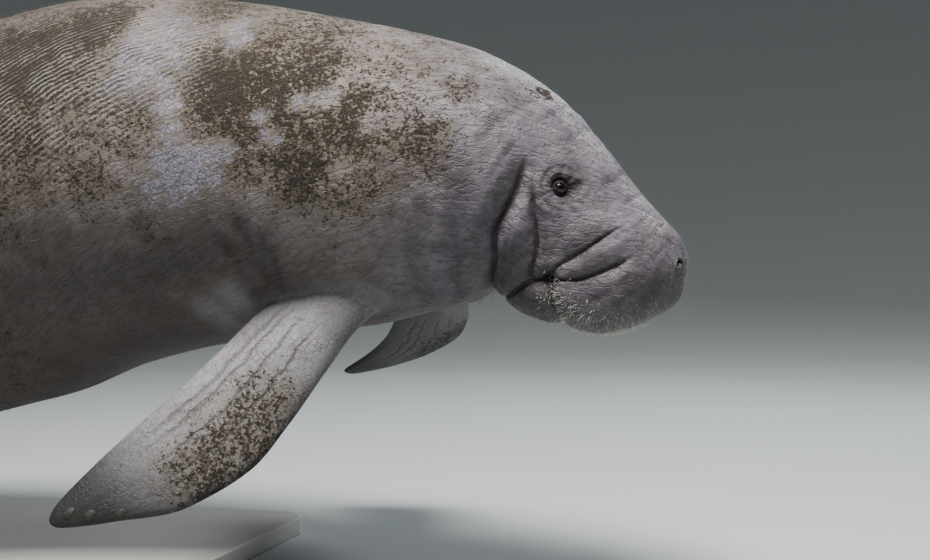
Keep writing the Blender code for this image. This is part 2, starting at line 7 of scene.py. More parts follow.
import bmesh
import bpy
import numpy as np
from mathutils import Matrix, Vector, kdtree, noise


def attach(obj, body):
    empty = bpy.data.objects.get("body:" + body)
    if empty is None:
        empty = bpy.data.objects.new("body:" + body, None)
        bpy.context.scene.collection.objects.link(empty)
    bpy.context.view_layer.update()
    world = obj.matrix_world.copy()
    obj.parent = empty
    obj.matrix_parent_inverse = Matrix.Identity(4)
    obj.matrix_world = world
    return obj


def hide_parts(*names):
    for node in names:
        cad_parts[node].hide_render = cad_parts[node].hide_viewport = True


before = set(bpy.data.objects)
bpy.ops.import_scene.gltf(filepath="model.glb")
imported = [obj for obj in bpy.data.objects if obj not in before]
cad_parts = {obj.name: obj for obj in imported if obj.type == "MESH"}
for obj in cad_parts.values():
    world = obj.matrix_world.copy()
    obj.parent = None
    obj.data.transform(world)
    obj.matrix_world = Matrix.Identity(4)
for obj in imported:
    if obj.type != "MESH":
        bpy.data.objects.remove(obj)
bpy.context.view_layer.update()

# Camera: its place, the way it faces and its lens for a 36 mm sensor
CAMERA_PLACE = (1.454, -1.76, 0.45)
CAMERA_AZIMUTH = 15.0
CAMERA_LENS = 48.39
SENSOR_WIDTH = 36.0

# The animal's main sizes
BODY_LENGTH = 3.00
EYE_LEVEL = 0.45
SNOUT_X = 1.280
SNOUT_Z = EYE_LEVEL - 0.043

# How the body's centre line slopes, in degrees, each bend over a stretch back from the snout
HEAD_BEND = (-37.0, 0.17, 0.47)
BACK_BEND = (13.0, 0.75, 1.20)
RUMP_BEND = (-6.0, 1.50, 2.00)
TAIL_BEND = (-6.0, 2.00, 2.60)

# Sections of the body: distance back, half width, top and bottom over the centre line
BODY_SECTIONS = (
    (0.000, 0.000, 0.016, 0.016),      # snout
    (0.010, 0.045, 0.042, -0.014),
    (0.030, 0.079, 0.071, -0.053),     # nostrils
    (0.060, 0.098, 0.091, -0.086),
    (0.100, 0.106, 0.099, -0.103),     # lip pad
    (0.140, 0.108, 0.108, -0.119),     # corner of the mouth
    (0.180, 0.112, 0.120, -0.129),     # eyes and chin
    (0.220, 0.123, 0.134, -0.133),     # jowl
    (0.260, 0.136, 0.151, -0.162),     # neck fold
    (0.300, 0.151, 0.167, -0.179),
    (0.380, 0.178, 0.195, -0.195),     # neck
    (0.500, 0.214, 0.228, -0.220),     # shoulders
    (0.700, 0.262, 0.269, -0.243),
    (0.900, 0.297, 0.290, -0.281),     # chest
    (1.100, 0.321, 0.281, -0.317),
    (1.350, 0.331, 0.268, -0.322),     # belly, the widest
    (1.650, 0.311, 0.243, -0.280),
    (1.900, 0.266, 0.205, -0.216),     # rump
    (2.100, 0.212, 0.160, -0.150),
    (2.250, 0.184, 0.121, -0.109),     # waist of the tail
    (2.400, 0.220, 0.086, -0.076),
    (2.560, 0.304, 0.053, -0.046),     # paddle
    (2.690, 0.341, 0.038, -0.033),
    (2.830, 0.310, 0.027, -0.024),
    (2.940, 0.214, 0.019, -0.017),
    (3.000, 0.000, 0.000, 0.000),      # end of the paddle
)
LOWER_FULLNESS = ((0.0, 0.04), (0.05, 0.10), (0.10, 0.12), (0.22, 0.06), (0.45, 0.10), (0.9, 0.07),
                  (1.9, 0.03), (2.3, 0.0))
SQUARENESS = ((0.0, 2.0), (0.05, 2.35), (0.12, 2.5), (0.22, 2.2), (0.5, 2.1), (1.3, 2.05), (3.0, 2.0))
RIM_THICKNESS = ((2.2, 0.0), (2.45, 0.008), (2.8, 0.010), (3.0, 0.010))
RIM_POWER = 1.7

# Spacing of the skin's rings by distance back, and the points round a ring
SKIN_STEP = ((0.0, 0.0018), (0.03, 0.0031), (0.30, 0.0031), (0.45, 0.0070), (0.80, 0.013), (2.20, 0.015),
             (2.90, 0.011), (3.0, 0.005))
SKIN_COLUMNS = 184
CLOSE_ANGLE = (2.05, 0.55, 1.2)     # where columns lie closest, over what spread, how much closer


def eased(start, end, value):
    """0 before start, 1 after end, smooth between."""
    share = np.clip((value - start) / (end - start), 0.0, 1.0)
    return share * share * (3.0 - 2.0 * share)


def bell(value, width):
    return np.exp(-(value / width) ** 2)


def smooth_through(places, sizes, at):
    """A smooth curve through (place, size) that never overshoots them."""
    places = np.asarray(places, float)
    sizes = np.asarray(sizes, float)
    gaps = np.diff(places)
    slopes = np.diff(sizes) / gaps
    ends = np.zeros(len(places))
    ends[0], ends[-1] = slopes[0], slopes[-1]
    for i in range(1, len(places) - 1):
        if slopes[i - 1] * slopes[i] > 0.0:
            near = 2.0 * gaps[i] + gaps[i - 1]
            far = gaps[i] + 2.0 * gaps[i - 1]
            ends[i] = (near + far) / (near / slopes[i - 1] + far / slopes[i])
    at = np.clip(at, places[0], places[-1])
    index = np.clip(np.searchsorted(places, at, side="right") - 1, 0, len(gaps) - 1)
    share = (at - places[index]) / gaps[index]
    square, cube = share ** 2, share ** 3
    level = sizes[index] * (2 * cube - 3 * square + 1) + sizes[index + 1] * (3 * square - 2 * cube)
    return level + gaps[index] * (ends[index] * (cube - 2 * square + share)
                                  + ends[index + 1] * (cube - square))


def from_pairs(pairs, at):
    """The smooth curve through a named list of (place, size) pairs."""
    return smooth_through([pair[0] for pair in pairs], [pair[1] for pair in pairs], at)


def round_ends(back):
    """Stretches the distance near both ends, so that the sizes close there in round caps."""
    return np.arccos(np.clip(1.0 - 2.0 * back / BODY_LENGTH, -1.0, 1.0))


def body_size(column, back):
    places = round_ends(np.array([row[0] for row in BODY_SECTIONS]))
    return smooth_through(places, [row[column] for row in BODY_SECTIONS], round_ends(back))


def line_slope(back):
    """Slope of the body's centre line, in radians, nose down below zero."""
    turn = HEAD_BEND[0] * (1.0 - eased(HEAD_BEND[1], HEAD_BEND[2], back))
    for angle, start, end in (BACK_BEND, RUMP_BEND, TAIL_BEND):
        turn = turn + angle * eased(start, end, back)
    return np.radians(turn)


def build_centre_line(step=0.001):
    """Distances, x and z of the centre line, summed from its slope."""
    back = np.arange(0.0, BODY_LENGTH + step, step)
    slope = line_slope(back)
    run_x = np.concatenate(([0.0], np.cumsum(0.5 * (np.cos(slope[1:]) + np.cos(slope[:-1])) * step)))
    run_z = np.concatenate(([0.0], np.cumsum(0.5 * (np.sin(slope[1:]) + np.sin(slope[:-1])) * step)))
    return back, SNOUT_X - run_x, SNOUT_Z - run_z


LINE_BACK, LINE_X, LINE_Z = build_centre_line()


def line_point(back, level=0.0):
    """World x and z of a place along the centre line and above it, square to it."""
    slope = line_slope(back)
    x = np.interp(back, LINE_BACK, LINE_X) - level * np.sin(slope)
    z = np.interp(back, LINE_BACK, LINE_Z) + level * np.cos(slope)
    return x, z


def head_place(back, up):
    """World x and z of a place on the head, along and above its straight axis."""
    slope = math.radians(HEAD_BEND[0])
    x = SNOUT_X - back * math.cos(slope) - up * math.sin(slope)
    z = SNOUT_Z - back * math.sin(slope) + up * math.cos(slope)
    return x, z


# Folds of the head and neck: a path of (back, up) places on the head's axis as seen from the
# side, then the depth and half width of its hollow, and the depth and half width of its crease
HEAD_FOLDS = (
    (((0.098, -0.112), (0.110, -0.098), (0.128, -0.077), (0.151, -0.060)), 0.006, 0.010, 0.0075, 0.0030),
    (((0.208, -0.138), (0.188, -0.119), (0.167, -0.080), (0.151, -0.060)), 0.004, 0.010, 0.0050, 0.0028),
    (((0.246, 0.040), (0.223, 0.010), (0.200, -0.018), (0.184, -0.042), (0.172, -0.075)),
     0.007, 0.013, 0.0045, 0.0030),
    (((0.268, 0.060), (0.254, 0.013), (0.246, -0.041), (0.236, -0.066), (0.224, -0.091), (0.222, -0.130)),
     0.012, 0.015, 0.0060, 0.0036),
    (((0.112, 0.060), (0.125, 0.030), (0.132, 0.008), (0.138, -0.013), (0.147, -0.034), (0.153, -0.052)),
     0.0030, 0.010, 0.0036, 0.0026),
    (((0.076, 0.036), (0.087, 0.015), (0.097, -0.006), (0.108, -0.024), (0.122, -0.040), (0.139, -0.052),
      (0.151, -0.060)), 0.0042, 0.010, 0.0042, 0.0026),
    (((0.300, -0.040), (0.283, -0.083), (0.263, -0.118), (0.249, -0.151)), 0.006, 0.014, 0.0016, 0.0040),
    (((0.345, -0.060), (0.321, -0.113), (0.304, -0.150), (0.289, -0.190)), 0.005, 0.015, 0.0014, 0.0045),
    (((0.375, -0.105), (0.352, -0.150), (0.334, -0.190), (0.322, -0.235)), 0.003, 0.016, 0.0010, 0.0050),
)

SHALLOW = 0.002               # folds less deep than this begin more slowly

# Fine lines of the head, each a path as above with its depth and half width
FINE_LINES = (
    (((0.232, 0.078), (0.214, 0.070), (0.196, 0.067), (0.180, 0.060)), 0.0016, 0.0026),
    (((0.238, 0.066), (0.226, 0.036), (0.208, 0.022), (0.188, 0.026)), 0.0018, 0.0026),
    (((0.232, 0.020), (0.212, 0.008), (0.192, 0.010), (0.176, 0.022)), 0.0013, 0.0028),
    (((0.184, 0.040), (0.168, 0.034), (0.150, 0.034)), 0.0014, 0.0024),
    (((0.186, 0.050), (0.168, 0.052), (0.148, 0.060)), 0.0012, 0.0024),
    (((0.236, 0.050), (0.252, 0.056), (0.268, 0.070)), 0.0013, 0.0026),
    (((0.190, -0.004), (0.178, -0.024), (0.170, -0.048)), 0.0014, 0.0030),
    (((0.170, 0.006), (0.164, -0.020), (0.160, -0.044)), 0.0010, 0.0028),
    (((0.214, -0.040), (0.204, -0.066), (0.192, -0.092)), 0.0013, 0.0032),
    (((0.230, -0.018), (0.222, -0.048), (0.210, -0.084)), 0.0012, 0.0032),
    (((0.100, 0.034), (0.112, 0.006), (0.124, -0.018)), 0.0008, 0.0026),
    (((0.058, 0.092), (0.054, 0.060), (0.060, 0.030)), 0.0010, 0.0030),
    (((0.078, 0.098), (0.076, 0.072), (0.082, 0.052)), 0.0010, 0.0028),
    (((0.102, 0.104), (0.098, 0.080), (0.104, 0.062)), 0.0009, 0.0030),
    (((0.128, 0.110), (0.130, 0.090), (0.140, 0.076)), 0.0009, 0.0030),
    (((0.166, 0.122), (0.164, 0.100), (0.172, 0.084)), 0.0010, 0.0034),
    (((0.240, 0.146), (0.242, 0.116), (0.256, 0.092)), 0.0012, 0.0040),
    (((0.284, 0.156), (0.284, 0.126), (0.296, 0.098)), 0.0012, 0.0045),
    (((0.324, 0.168), (0.318, 0.120), (0.330, 0.060), (0.322, 0.010)), 0.0014, 0.0055),
    (((0.292, 0.070), (0.290, 0.030), (0.284, -0.010)), 0.0014, 0.0050),
    (((0.176, -0.088), (0.164, -0.104), (0.150, -0.118)), 0.0010, 0.0026),
    (((0.192, -0.102), (0.178, -0.112), (0.166, -0.128)), 0.0010, 0.0026),
    (((0.070, -0.010), (0.078, -0.034), (0.092, -0.056)), 0.0012, 0.0034),
    (((0.046, 0.010), (0.050, -0.016), (0.060, -0.040)), 0.0010, 0.0034),
)

# Creases behind the right flipper, as (x, z) paths on the flank, with depth and half width
FLANK_CREASES = (
    (((0.722, 0.545), (0.738, 0.510), (0.748, 0.478), (0.752, 0.448)), 0.0045, 0.0075),
    (((0.756, 0.520), (0.766, 0.490), (0.770, 0.462), (0.768, 0.438)), 0.0040, 0.0065),
    (((0.690, 0.520), (0.712, 0.488), (0.728, 0.456), (0.736, 0.430)), 0.0030, 0.0090),
)

# Swellings and hollows of the head: distance back, angle from the top in degrees, half length
# back, half spread in degrees, height
HEAD_SWELLINGS = (
    (0.078, 135.0, 0.034, 26.0, 0.006),      # upper lip lobes
    (0.068, 180.0, 0.036, 11.0, -0.008),     # cleft between them
    (0.030, 30.0, 0.016, 14.0, 0.003),       # nostril pads
    (0.209, 68.0, 0.022, 9.0, -0.006),       # eye hollows
    (0.228, 118.0, 0.018, 22.0, 0.007),      # jowls
    (0.150, 160.0, 0.026, 26.0, 0.003),      # chin
    (0.118, 96.0, 0.016, 10.0, 0.0025),      # cheek lobes
)


def along_path(x, z, points):
    """Distance from places x, z to a path, and how far along it the nearest point is."""
    lengths = np.concatenate(([0.0], np.cumsum(np.hypot(*np.diff(points, axis=0).T))))
    nearest = np.full(np.shape(x), 9.0)
    along = np.zeros(np.shape(x))
    for i in range(len(points) - 1):
        start = points[i]
        run = points[i + 1] - start
        share = np.clip(((x - start[0]) * run[0] + (z - start[1]) * run[1]) / run.dot(run), 0.0, 1.0)
        distance = np.hypot(x - start[0] - share * run[0], z - start[1] - share * run[1])
        closer = distance < nearest
        nearest = np.where(closer, distance, nearest)
        along = np.where(closer, (lengths[i] + share * (lengths[i + 1] - lengths[i])) / lengths[-1], along)
    return nearest, along


def curved(path, steps=5):
    """A path with extra points on a smooth curve through its own."""
    points = np.array(path, float)
    lengths = np.concatenate(([0.0], np.cumsum(np.hypot(*np.diff(points, axis=0).T))))
    at = np.linspace(0.0, lengths[-1], (len(points) - 1) * steps + 1)
    result = []
    for value in at:
        i = min(int(np.searchsorted(lengths, value, side="right")) - 1, len(points) - 2)
        share = (value - lengths[i]) / (lengths[i + 1] - lengths[i])
        before, after = points[max(i - 1, 0)], points[min(i + 2, len(points) - 1)]
        first, second = points[i], points[i + 1]
        tangent_first, tangent_second = 0.5 * (second - before), 0.5 * (after - first)
        square, cube = share ** 2, share ** 3
        result.append(first * (2 * cube - 3 * square + 1) + second * (3 * square - 2 * cube)
                      + tangent_first * (cube - 2 * square + share) + tangent_second * (cube - square))
    return np.array(result)


def on_head_axis(path):
    return curved([head_place(back, up) for back, up in path])


def swelling(back, angle, bump):
    """Height of a swelling or hollow, alike on both sides."""
    centre, place, length, spread, height = bump
    turn = np.abs(np.degrees(np.arctan2(np.sin(angle), np.cos(angle))))
    return height * np.exp(-((back - centre) / length) ** 2 - ((turn - place) / spread) ** 2)


def head_relief(x, z, wander):
    """Height of the folds and lines at side-view places, and how deep in a crease each lies."""
    x, z = x + wander[0], z + wander[1]
    height = np.zeros(np.shape(x))
    crease = np.zeros(np.shape(x))
    for path, hollow, hollow_width, depth, width in HEAD_FOLDS:
        distance, along = along_path(x, z, on_head_axis(path))
        fade = eased(-0.05, 0.24 if depth > SHALLOW else 0.80, along)
        height -= fade * (hollow * bell(distance, hollow_width) + depth * bell(distance, width))
        height += fade * 0.18 * hollow * bell(distance - 1.9 * hollow_width, 0.8 * hollow_width)
        # painted shade along the fold's crease
        crease = np.maximum(crease, fade * bell(distance, 1.5 * width) * min(1.0, depth / 0.004))
    for path, depth, width in FINE_LINES:
        distance, along = along_path(x, z, on_head_axis(path))
        fade = eased(0.0, 0.25, along) * (1.0 - eased(0.75, 1.0, along))
        height -= fade * depth * bell(distance, width)
        # fainter painted shade along a fine line
        crease = np.maximum(crease, 0.45 * fade * bell(distance, 1.2 * width))
    return height, crease


def wandering(x, y, z, size, reach):
    """Two smooth random offsets that make drawn lines wander."""
    first = sample_noise(x, y, z, size, 3.1, 2)
    second = sample_noise(x, y, z, size, 8.7, 2)
    return reach * first, reach * second


def sample_noise(x, y, z, size, place, octaves):
    """Smooth noise, about -1 to 1, whose largest lumps are as wide as size."""
    shape = np.shape(x)
    values = [noise.fractal(Vector((a / size + place, b / size, c / size)), 1.0, 2.0, octaves)
              for a, b, c in zip(np.ravel(x), np.ravel(y), np.ravel(z))]
    return np.array(values).reshape(shape)


def body_surface(back, angle, with_lines=False):
    """Points on the skin and how deep in a crease each lies."""
    back, angle = np.broadcast_arrays(np.asarray(back, float), np.asarray(angle, float))
    across, up = np.sin(angle), np.cos(angle)
    power = 2.0 / from_pairs(SQUARENESS, back)
    width = body_size(1, back) * (1.0 - from_pairs(LOWER_FULLNESS, back) * up)
    top, bottom = body_size(2, back), body_size(3, back)
    middle, height = 0.5 * (top + bottom), 0.5 * (top - bottom)
    rim = np.minimum(from_pairs(RIM_THICKNESS, back), 0.6 * height)
    paddle = eased(2.2, 2.6, back)
    bow = (1.0 - paddle) * np.abs(up) ** power + paddle * np.abs(up) ** RIM_POWER
    level = middle + np.sign(up) * ((height - rim) * bow + rim * np.abs(up) ** 0.35)
    y = -width * np.sign(across) * np.abs(across) ** power
    out_y = -across / np.maximum(width, 0.02)
    out_up = up / np.maximum(height, 0.02)
    out_length = np.hypot(out_y, out_up)
    x, z = line_point(back, level)
    on_head = eased(0.0, 0.03, back) * (1.0 - eased(0.36, 0.44, back))
    relief = sum(swelling(back, angle, bump) for bump in HEAD_SWELLINGS)
    crease = np.zeros(np.shape(x))
    if with_lines:
        head = on_head > 0.0
        wander = wandering(x[head], y[head], z[head], 0.05, 0.0022)
        folds, marks = head_relief(x[head], z[head], wander)
        relief = relief + np.zeros(np.shape(x))
        relief[head] += folds
        crease[head] = marks * on_head[head]
    push = relief * on_head
    x, z = line_point(back, level + push * out_up / out_length)
    return np.stack([x, y + push * out_y / out_length, z], axis=-1), crease


def surface_frame(back, angle):
    """A point on the skin with its outward, forward and upward directions."""
    def at(b, a):
        return Vector(body_surface(b, a)[0])
    point = at(back, angle)
    along = at(back - 0.004, angle) - at(back + 0.004, angle)
    around = at(back, angle - 0.05) - at(back, angle + 0.05)
    outward = along.cross(around).normalized()
    line_x, line_z = line_point(back)
    if outward.dot(point - Vector((line_x, 0.0, line_z))) < 0.0:
        outward.negate()
    forward = (along - outward * along.dot(outward)).normalized()
    upward = outward.cross(forward).normalized()
    if upward.z < 0.0:
        upward.negate()
    return point, outward, forward, upward


def spread_evenly(fine, weight, count, first, last):
    """Places that lie closer where the weight is higher, without the two ends asked to go."""
    total = np.concatenate(([0.0], np.cumsum(0.5 * (weight[1:] + weight[:-1]) * np.diff(fine))))
    return np.interp(np.linspace(0.0, total[-1], count + 1)[first:last], total, fine)


def ring_distances(step):
    fine = np.linspace(0.0, BODY_LENGTH, 6001)
    weight = 1.0 / from_pairs(step, fine)
    count = int(round(float(np.sum(weight)) * (fine[1] - fine[0])))
    return spread_evenly(fine, weight, count, 1, -1)


def ring_angles(points):
    """Angles round a ring, closest over the cheeks and the lower flanks."""
    middle, spread, extra = CLOSE_ANGLE
    fine = np.linspace(0.0, math.pi, 2001)
    weight = 1.0 + extra * np.exp(-((fine - middle) / spread) ** 2)
    half = spread_evenly(fine, weight, points // 2, 0, None)
    return np.concatenate((half, 2.0 * math.pi - half[-2:0:-1]))


# Eyes and nostrils: where they are on the skin
EYE_BACK = 0.209
EYE_ANGLE = math.radians(68.0)
EYE_RADIUS = 0.0105
EYE_DEPTH = 0.0062
NOSTRIL_BACK = 0.024
NOSTRIL_ANGLE = math.radians(33.0)
NOSTRIL_RADIUS = 0.0090

# Where the skin's mesh is made finer: reach round eyes and nostrils, and round the folds
EYE_REACHES = (0.036, 0.021)
NOSTRIL_REACHES = (0.022, 0.017)
FOLD_REACH = 0.0065


def feature_frames():
    """The eyes and nostrils, as (kind, side, frame)."""
    frames = []
    for side in (1.0, -1.0):
        frames.append(("eye", side, surface_frame(EYE_BACK, side * EYE_ANGLE)))
        frames.append(("nostril", side, surface_frame(NOSTRIL_BACK, side * NOSTRIL_ANGLE)))
    return frames


def refine(bm, wanted):
    """Splits the faces whose middle is wanted into four, in the plane of back and angle."""
    faces = [face for face in bm.faces if len(face.verts) == 4
             and max(vert.co.y for vert in face.verts) - min(vert.co.y for vert in face.verts) < 3.0]
    middles = np.array([face.calc_center_median()[:2] for face in faces])
    chosen = wanted(middles[:, 0], middles[:, 1])
    edges = {edge for face, pick in zip(faces, chosen) if pick for edge in face.edges}
    bmesh.ops.subdivide_edges(bm, edges=list(edges), cuts=1, use_grid_fill=True)


def near_feature(frames, level):
    def wanted(back, angle):
        points = body_surface(back, angle)[0]
        result = np.zeros(len(points), bool)
        for kind, _, placed in frames:
            reach = (EYE_REACHES if kind == "eye" else NOSTRIL_REACHES)[level]
            result |= np.linalg.norm(points - np.array(placed[0]), axis=1) < reach
        return result
    return wanted


def near_fold(back, angle):
    points = body_surface(back, angle)[0]
    result = np.zeros(len(points), bool)
    for path, _, _, depth, _ in HEAD_FOLDS:
        if depth > 0.003:
            distance = along_path(points[:, 0], points[:, 2], on_head_axis(path))[0]
            result |= distance < FOLD_REACH
    return result & (back < 0.30) & (back > 0.012)


def body_shell():
    """The body's skin as one closed mesh, with the distance back and angle of each vertex."""
    rings, angles = ring_distances(SKIN_STEP), ring_angles(SKIN_COLUMNS)
    bm = bmesh.new()
    loops = [[bm.verts.new((back, angle, 0.0)) for angle in angles] for back in rings]
    snout, tail = bm.verts.new((0.0, 0.0, 0.0)), bm.verts.new((BODY_LENGTH, 0.0, 0.0))
    for j in range(SKIN_COLUMNS):
        k = (j + 1) % SKIN_COLUMNS
        bm.faces.new((snout, loops[0][j], loops[0][k]))
        bm.faces.new((tail, loops[-1][k], loops[-1][j]))
        for ahead, behind in zip(loops[:-1], loops[1:]):
            bm.faces.new((ahead[j], behind[j], behind[k], ahead[k]))
    frames = feature_frames()
    refine(bm, near_fold)
    refine(bm, near_feature(frames, 0))
    refine(bm, near_feature(frames, 1))
    places = np.array([vert.co for vert in bm.verts])
    points, crease = body_surface(places[:, 0], places[:, 1], with_lines=True)
    for back in (0.0, BODY_LENGTH):
        x, z = line_point(back, float(body_size(2, np.array(back))))
        points[places[:, 0] == back] = (x, 0.0, z)
    for vert, point in zip(bm.verts, points):
        vert.co = point
    bmesh.ops.recalc_face_normals(bm, faces=bm.faces[:])
    return bm, places[:, :2], crease


# Flippers: shoulder inside the body, elbow and tip, and the way to the leading edge
RIGHT_FLIPPER = {
    "shoulder": (0.912, -0.040, EYE_LEVEL + 0.064),
    "elbow": (0.731, -0.220, EYE_LEVEL - 0.114),
    "tip": (0.519, -0.340, EYE_LEVEL - 0.315),
    "lead": (0.68, -0.10, -0.73),
}
LEFT_FLIPPER = {
    "shoulder": (0.928, 0.045, EYE_LEVEL + 0.055),
    "elbow": (0.845, 0.335, EYE_LEVEL - 0.096),
    "tip": (0.627, 0.460, EYE_LEVEL - 0.173),
    "lead": (0.62, 0.78, 0.02),
}
FLIPPER_OUTLINE = (
    (0.00, 0.040, 0.050, 0.040),
    (0.24, 0.048, 0.059, 0.037),
    (0.36, 0.048, 0.078, 0.032),     # out of the body
    (0.50, 0.039, 0.103, 0.026),
    (0.62, 0.032, 0.118, 0.022),     # widest
    (0.76, 0.028, 0.104, 0.017),
    (0.90, 0.021, 0.053, 0.012),
    (0.97, 0.014, 0.023, 0.008),
    (1.00, 0.000, 0.000, 0.000),
)
FLIPPER_RINGS = 84
FLIPPER_POINTS = 64
TRAILING_THIN = 0.30
FLIPPER_LENGTH = 0.62
LIMBS = (("right", RIGHT_FLIPPER, -1.0), ("left", LEFT_FLIPPER, 1.0))


def flipper_frame(limb, share):
    """Point, direction, way to the leading edge and facing of a flipper's centre line."""
    shoulder, elbow, tip = (Vector(limb[key]) for key in ("shoulder", "elbow", "tip"))
    point = shoulder * (1 - share) ** 2 + elbow * (2 * share * (1 - share)) + tip * share ** 2
    way = ((elbow - shoulder) * (1 - share) + (tip - elbow) * share).normalized()
    lead = Vector(limb["lead"])
    lead = (lead - way * lead.dot(way)).normalized()
    return point, way, lead, way.cross(lead)


def flipper_size(column, share):
    """Outline sizes, closing in a round tip."""
    places = np.sqrt(1.0 - np.array([row[0] for row in FLIPPER_OUTLINE]))
    return float(smooth_through(-places, [row[column] for row in FLIPPER_OUTLINE], -math.sqrt(1.0 - share)))


def flipper_shell(limb):
    """A flipper's skin as one closed mesh, with the share and turn of each vertex."""
    bm = bmesh.new()
    loops, places = [], []
    for i in range(FLIPPER_RINGS):
        share = 1.0 - (1.0 - i / FLIPPER_RINGS) ** 1.35
        point, way, lead, facing = flipper_frame(limb, share)
        trail, front, thick = (flipper_size(column, share) for column in (1, 2, 3))
        ring = []
        for k in range(FLIPPER_POINTS):
            turn = 2.0 * math.pi * k / FLIPPER_POINTS
            across = math.cos(turn)
            reach = (front - trail) / 2.0 + (front + trail) / 2.0 * across
            edge = 1.0 - TRAILING_THIN * max(0.0, -across)
            fingers = 0.0010 * math.cos(4.6 * math.pi * across) * float(eased(0.40, 0.62, share))
            fingers *= float(1.0 - eased(0.86, 0.97, share)) * abs(math.sin(turn))
            height = thick * edge * math.sin(turn) + math.copysign(fingers, math.sin(turn))
            ring.append(bm.verts.new(point + lead * reach + facing * height))
            places.append((share, turn))
        loops.append(ring)
    root, tip = bm.verts.new(flipper_frame(limb, 0.0)[0]), bm.verts.new(flipper_frame(limb, 1.0)[0])
    places += [(0.0, 0.0), (1.0, 0.0)]
    for j in range(FLIPPER_POINTS):
        k = (j + 1) % FLIPPER_POINTS
        bm.faces.new((root, loops[0][j], loops[0][k]))
        bm.faces.new((tip, loops[-1][k], loops[-1][j]))
        for inner, outer in zip(loops[:-1], loops[1:]):
            bm.faces.new((inner[j], outer[j], outer[k], inner[k]))
    bmesh.ops.recalc_face_normals(bm, faces=bm.faces[:])
    return bm, np.array(places)


def add_mesh_object(name, bm, material=None):
    mesh = bpy.data.meshes.new(name)
    bm.to_mesh(mesh)
    bm.free()
    item = bpy.data.objects.new(name, mesh)
    bpy.context.scene.collection.objects.link(item)
    if material is not None:
        mesh.materials.append(material)
    mesh.shade_smooth()
    return item


def mesh_points(mesh):
    points = np.empty(len(mesh.vertices) * 3)
    mesh.vertices.foreach_get("co", points)
    return points.reshape(-1, 3)


def mesh_normals(mesh):
    normals = np.empty(len(mesh.vertices) * 3, np.float32)
    mesh.vertex_normals.foreach_get("vector", normals)
    return normals.reshape(-1, 3).astype(float)


def set_points(mesh, points):
    mesh.vertices.foreach_set("co", np.asarray(points, np.float32).ravel())
    mesh.update()


def tree_of(points):
    tree = kdtree.KDTree(len(points))
    for i, point in enumerate(points):
        tree.insert(point, i)
    tree.balance()
    return tree


def smooth_near_joint(points, edges, weight, rounds):
    """Relaxes a mesh's points toward their neighbours, as far as the weight lets them."""
    count = np.zeros(len(points))
    np.add.at(count, edges[:, 0], 1.0)
    np.add.at(count, edges[:, 1], 1.0)
    for _ in range(rounds):
        total = np.zeros_like(points)
        np.add.at(total, edges[:, 0], points[edges[:, 1]])
        np.add.at(total, edges[:, 1], points[edges[:, 0]])
        mean = total / np.maximum(count, 1.0)[:, None]
        points = points + (0.5 * weight)[:, None] * (mean - points)
    return points


JOINT_REACH = 0.020           # how far round a flipper's root the skin is drawn smooth
JOINT_ROUNDS = 14


class Skin:
    """The skin's mesh with what is known of each of its points."""

    def __init__(self):
        bm, body_places, body_crease = body_shell()
        body = add_mesh_object("skin", bm)
        body_points = mesh_points(body.data)
        sources = [body_points]
        places = [np.column_stack([np.zeros(len(body_points)), body_places, body_crease])]
        for number, (_, limb, _) in enumerate(LIMBS, 1):
            bm, limb_places = flipper_shell(limb)
            flipper = add_mesh_object("flipper_shell", bm)
            sources.append(mesh_points(flipper.data))
            places.append(np.column_stack([np.full(len(limb_places), number), limb_places,
                                           np.zeros(len(limb_places))]))
            join(body, flipper)
        self.item = body
        self.points = mesh_points(body.data)
        tree = tree_of(np.concatenate(sources))
        known = np.concatenate(places)
        found = [tree.find(point) for point in self.points]
        index = np.array([hit[1] for hit in found])
        moved = np.array([hit[2] for hit in found])
        self.part, self.first, self.second, self.crease = known[index].T
        self.on_body = self.part == 0
        self.joint = self.distance_to(self.points[moved > 1e-6])
        self.draw_together()

    def distance_to(self, places):
        tree = tree_of(places)
        return np.array([tree.find(point)[2] for point in self.points])

    def draw_together(self):
        mesh = self.item.data
        edges = np.empty(len(mesh.edges) * 2, int)
        mesh.edges.foreach_get("vertices", edges)
        weight = bell(self.joint, JOINT_REACH)
        self.points = smooth_near_joint(self.points, edges.reshape(-1, 2), weight, JOINT_ROUNDS)
        set_points(mesh, self.points)


def join(item, other):
    """Unites an object with another, which is then removed."""
    modifier = item.modifiers.new("union", "BOOLEAN")
    modifier.operation = "UNION"
    modifier.solver = "EXACT"
    modifier.object = other
    graph = bpy.context.evaluated_depsgraph_get()
    result = bpy.data.meshes.new_from_object(item.evaluated_get(graph))
    item.modifiers.remove(modifier)
    item.data = result
    bpy.data.objects.remove(other)


# The eye: the opening's half sizes and tilt, the lid's thickness, and the grooves round it as
# radius, depth and half width
EYE_OPENING = (0.0068, 0.0050)
EYE_TILT = math.radians(24.0)
LID_THICK = 0.0012
LID_BLEND = (0.0076, 0.0140)
EYE_GROOVES = ((0.0114, 0.0030, 0.0019), (0.0158, 0.0022, 0.0024), (0.0208, 0.0014, 0.0020),
               (0.0258, 0.0011, 0.0024))
EYE_RAYS = 0.00050
BROW = (0.0190, 0.0024, 0.0050)
BROW_TURN = 1.7
# Painted shade of the sunken socket: the half sizes of its core, then a band's way, middle, half length and width
SOCKET_SHADE_CORE = (0.0150, 0.0130)
SOCKET_SHADE_BAND = (math.radians(62.0), 0.0140, 0.0230, 0.0100)     # its way, middle, half length and width

# The nostril: a crescent groove over the round valve, in degrees to each side of the way up, with
# its depth and width
NOSTRIL_SWEEP = 92.0
NOSTRIL_REACH = 0.0078
NOSTRIL_DEPTH = 0.0085
NOSTRIL_WIDTH = 0.0022
VALVE_HEIGHT = 0.0024
VALVE_WIDTH = 0.0060


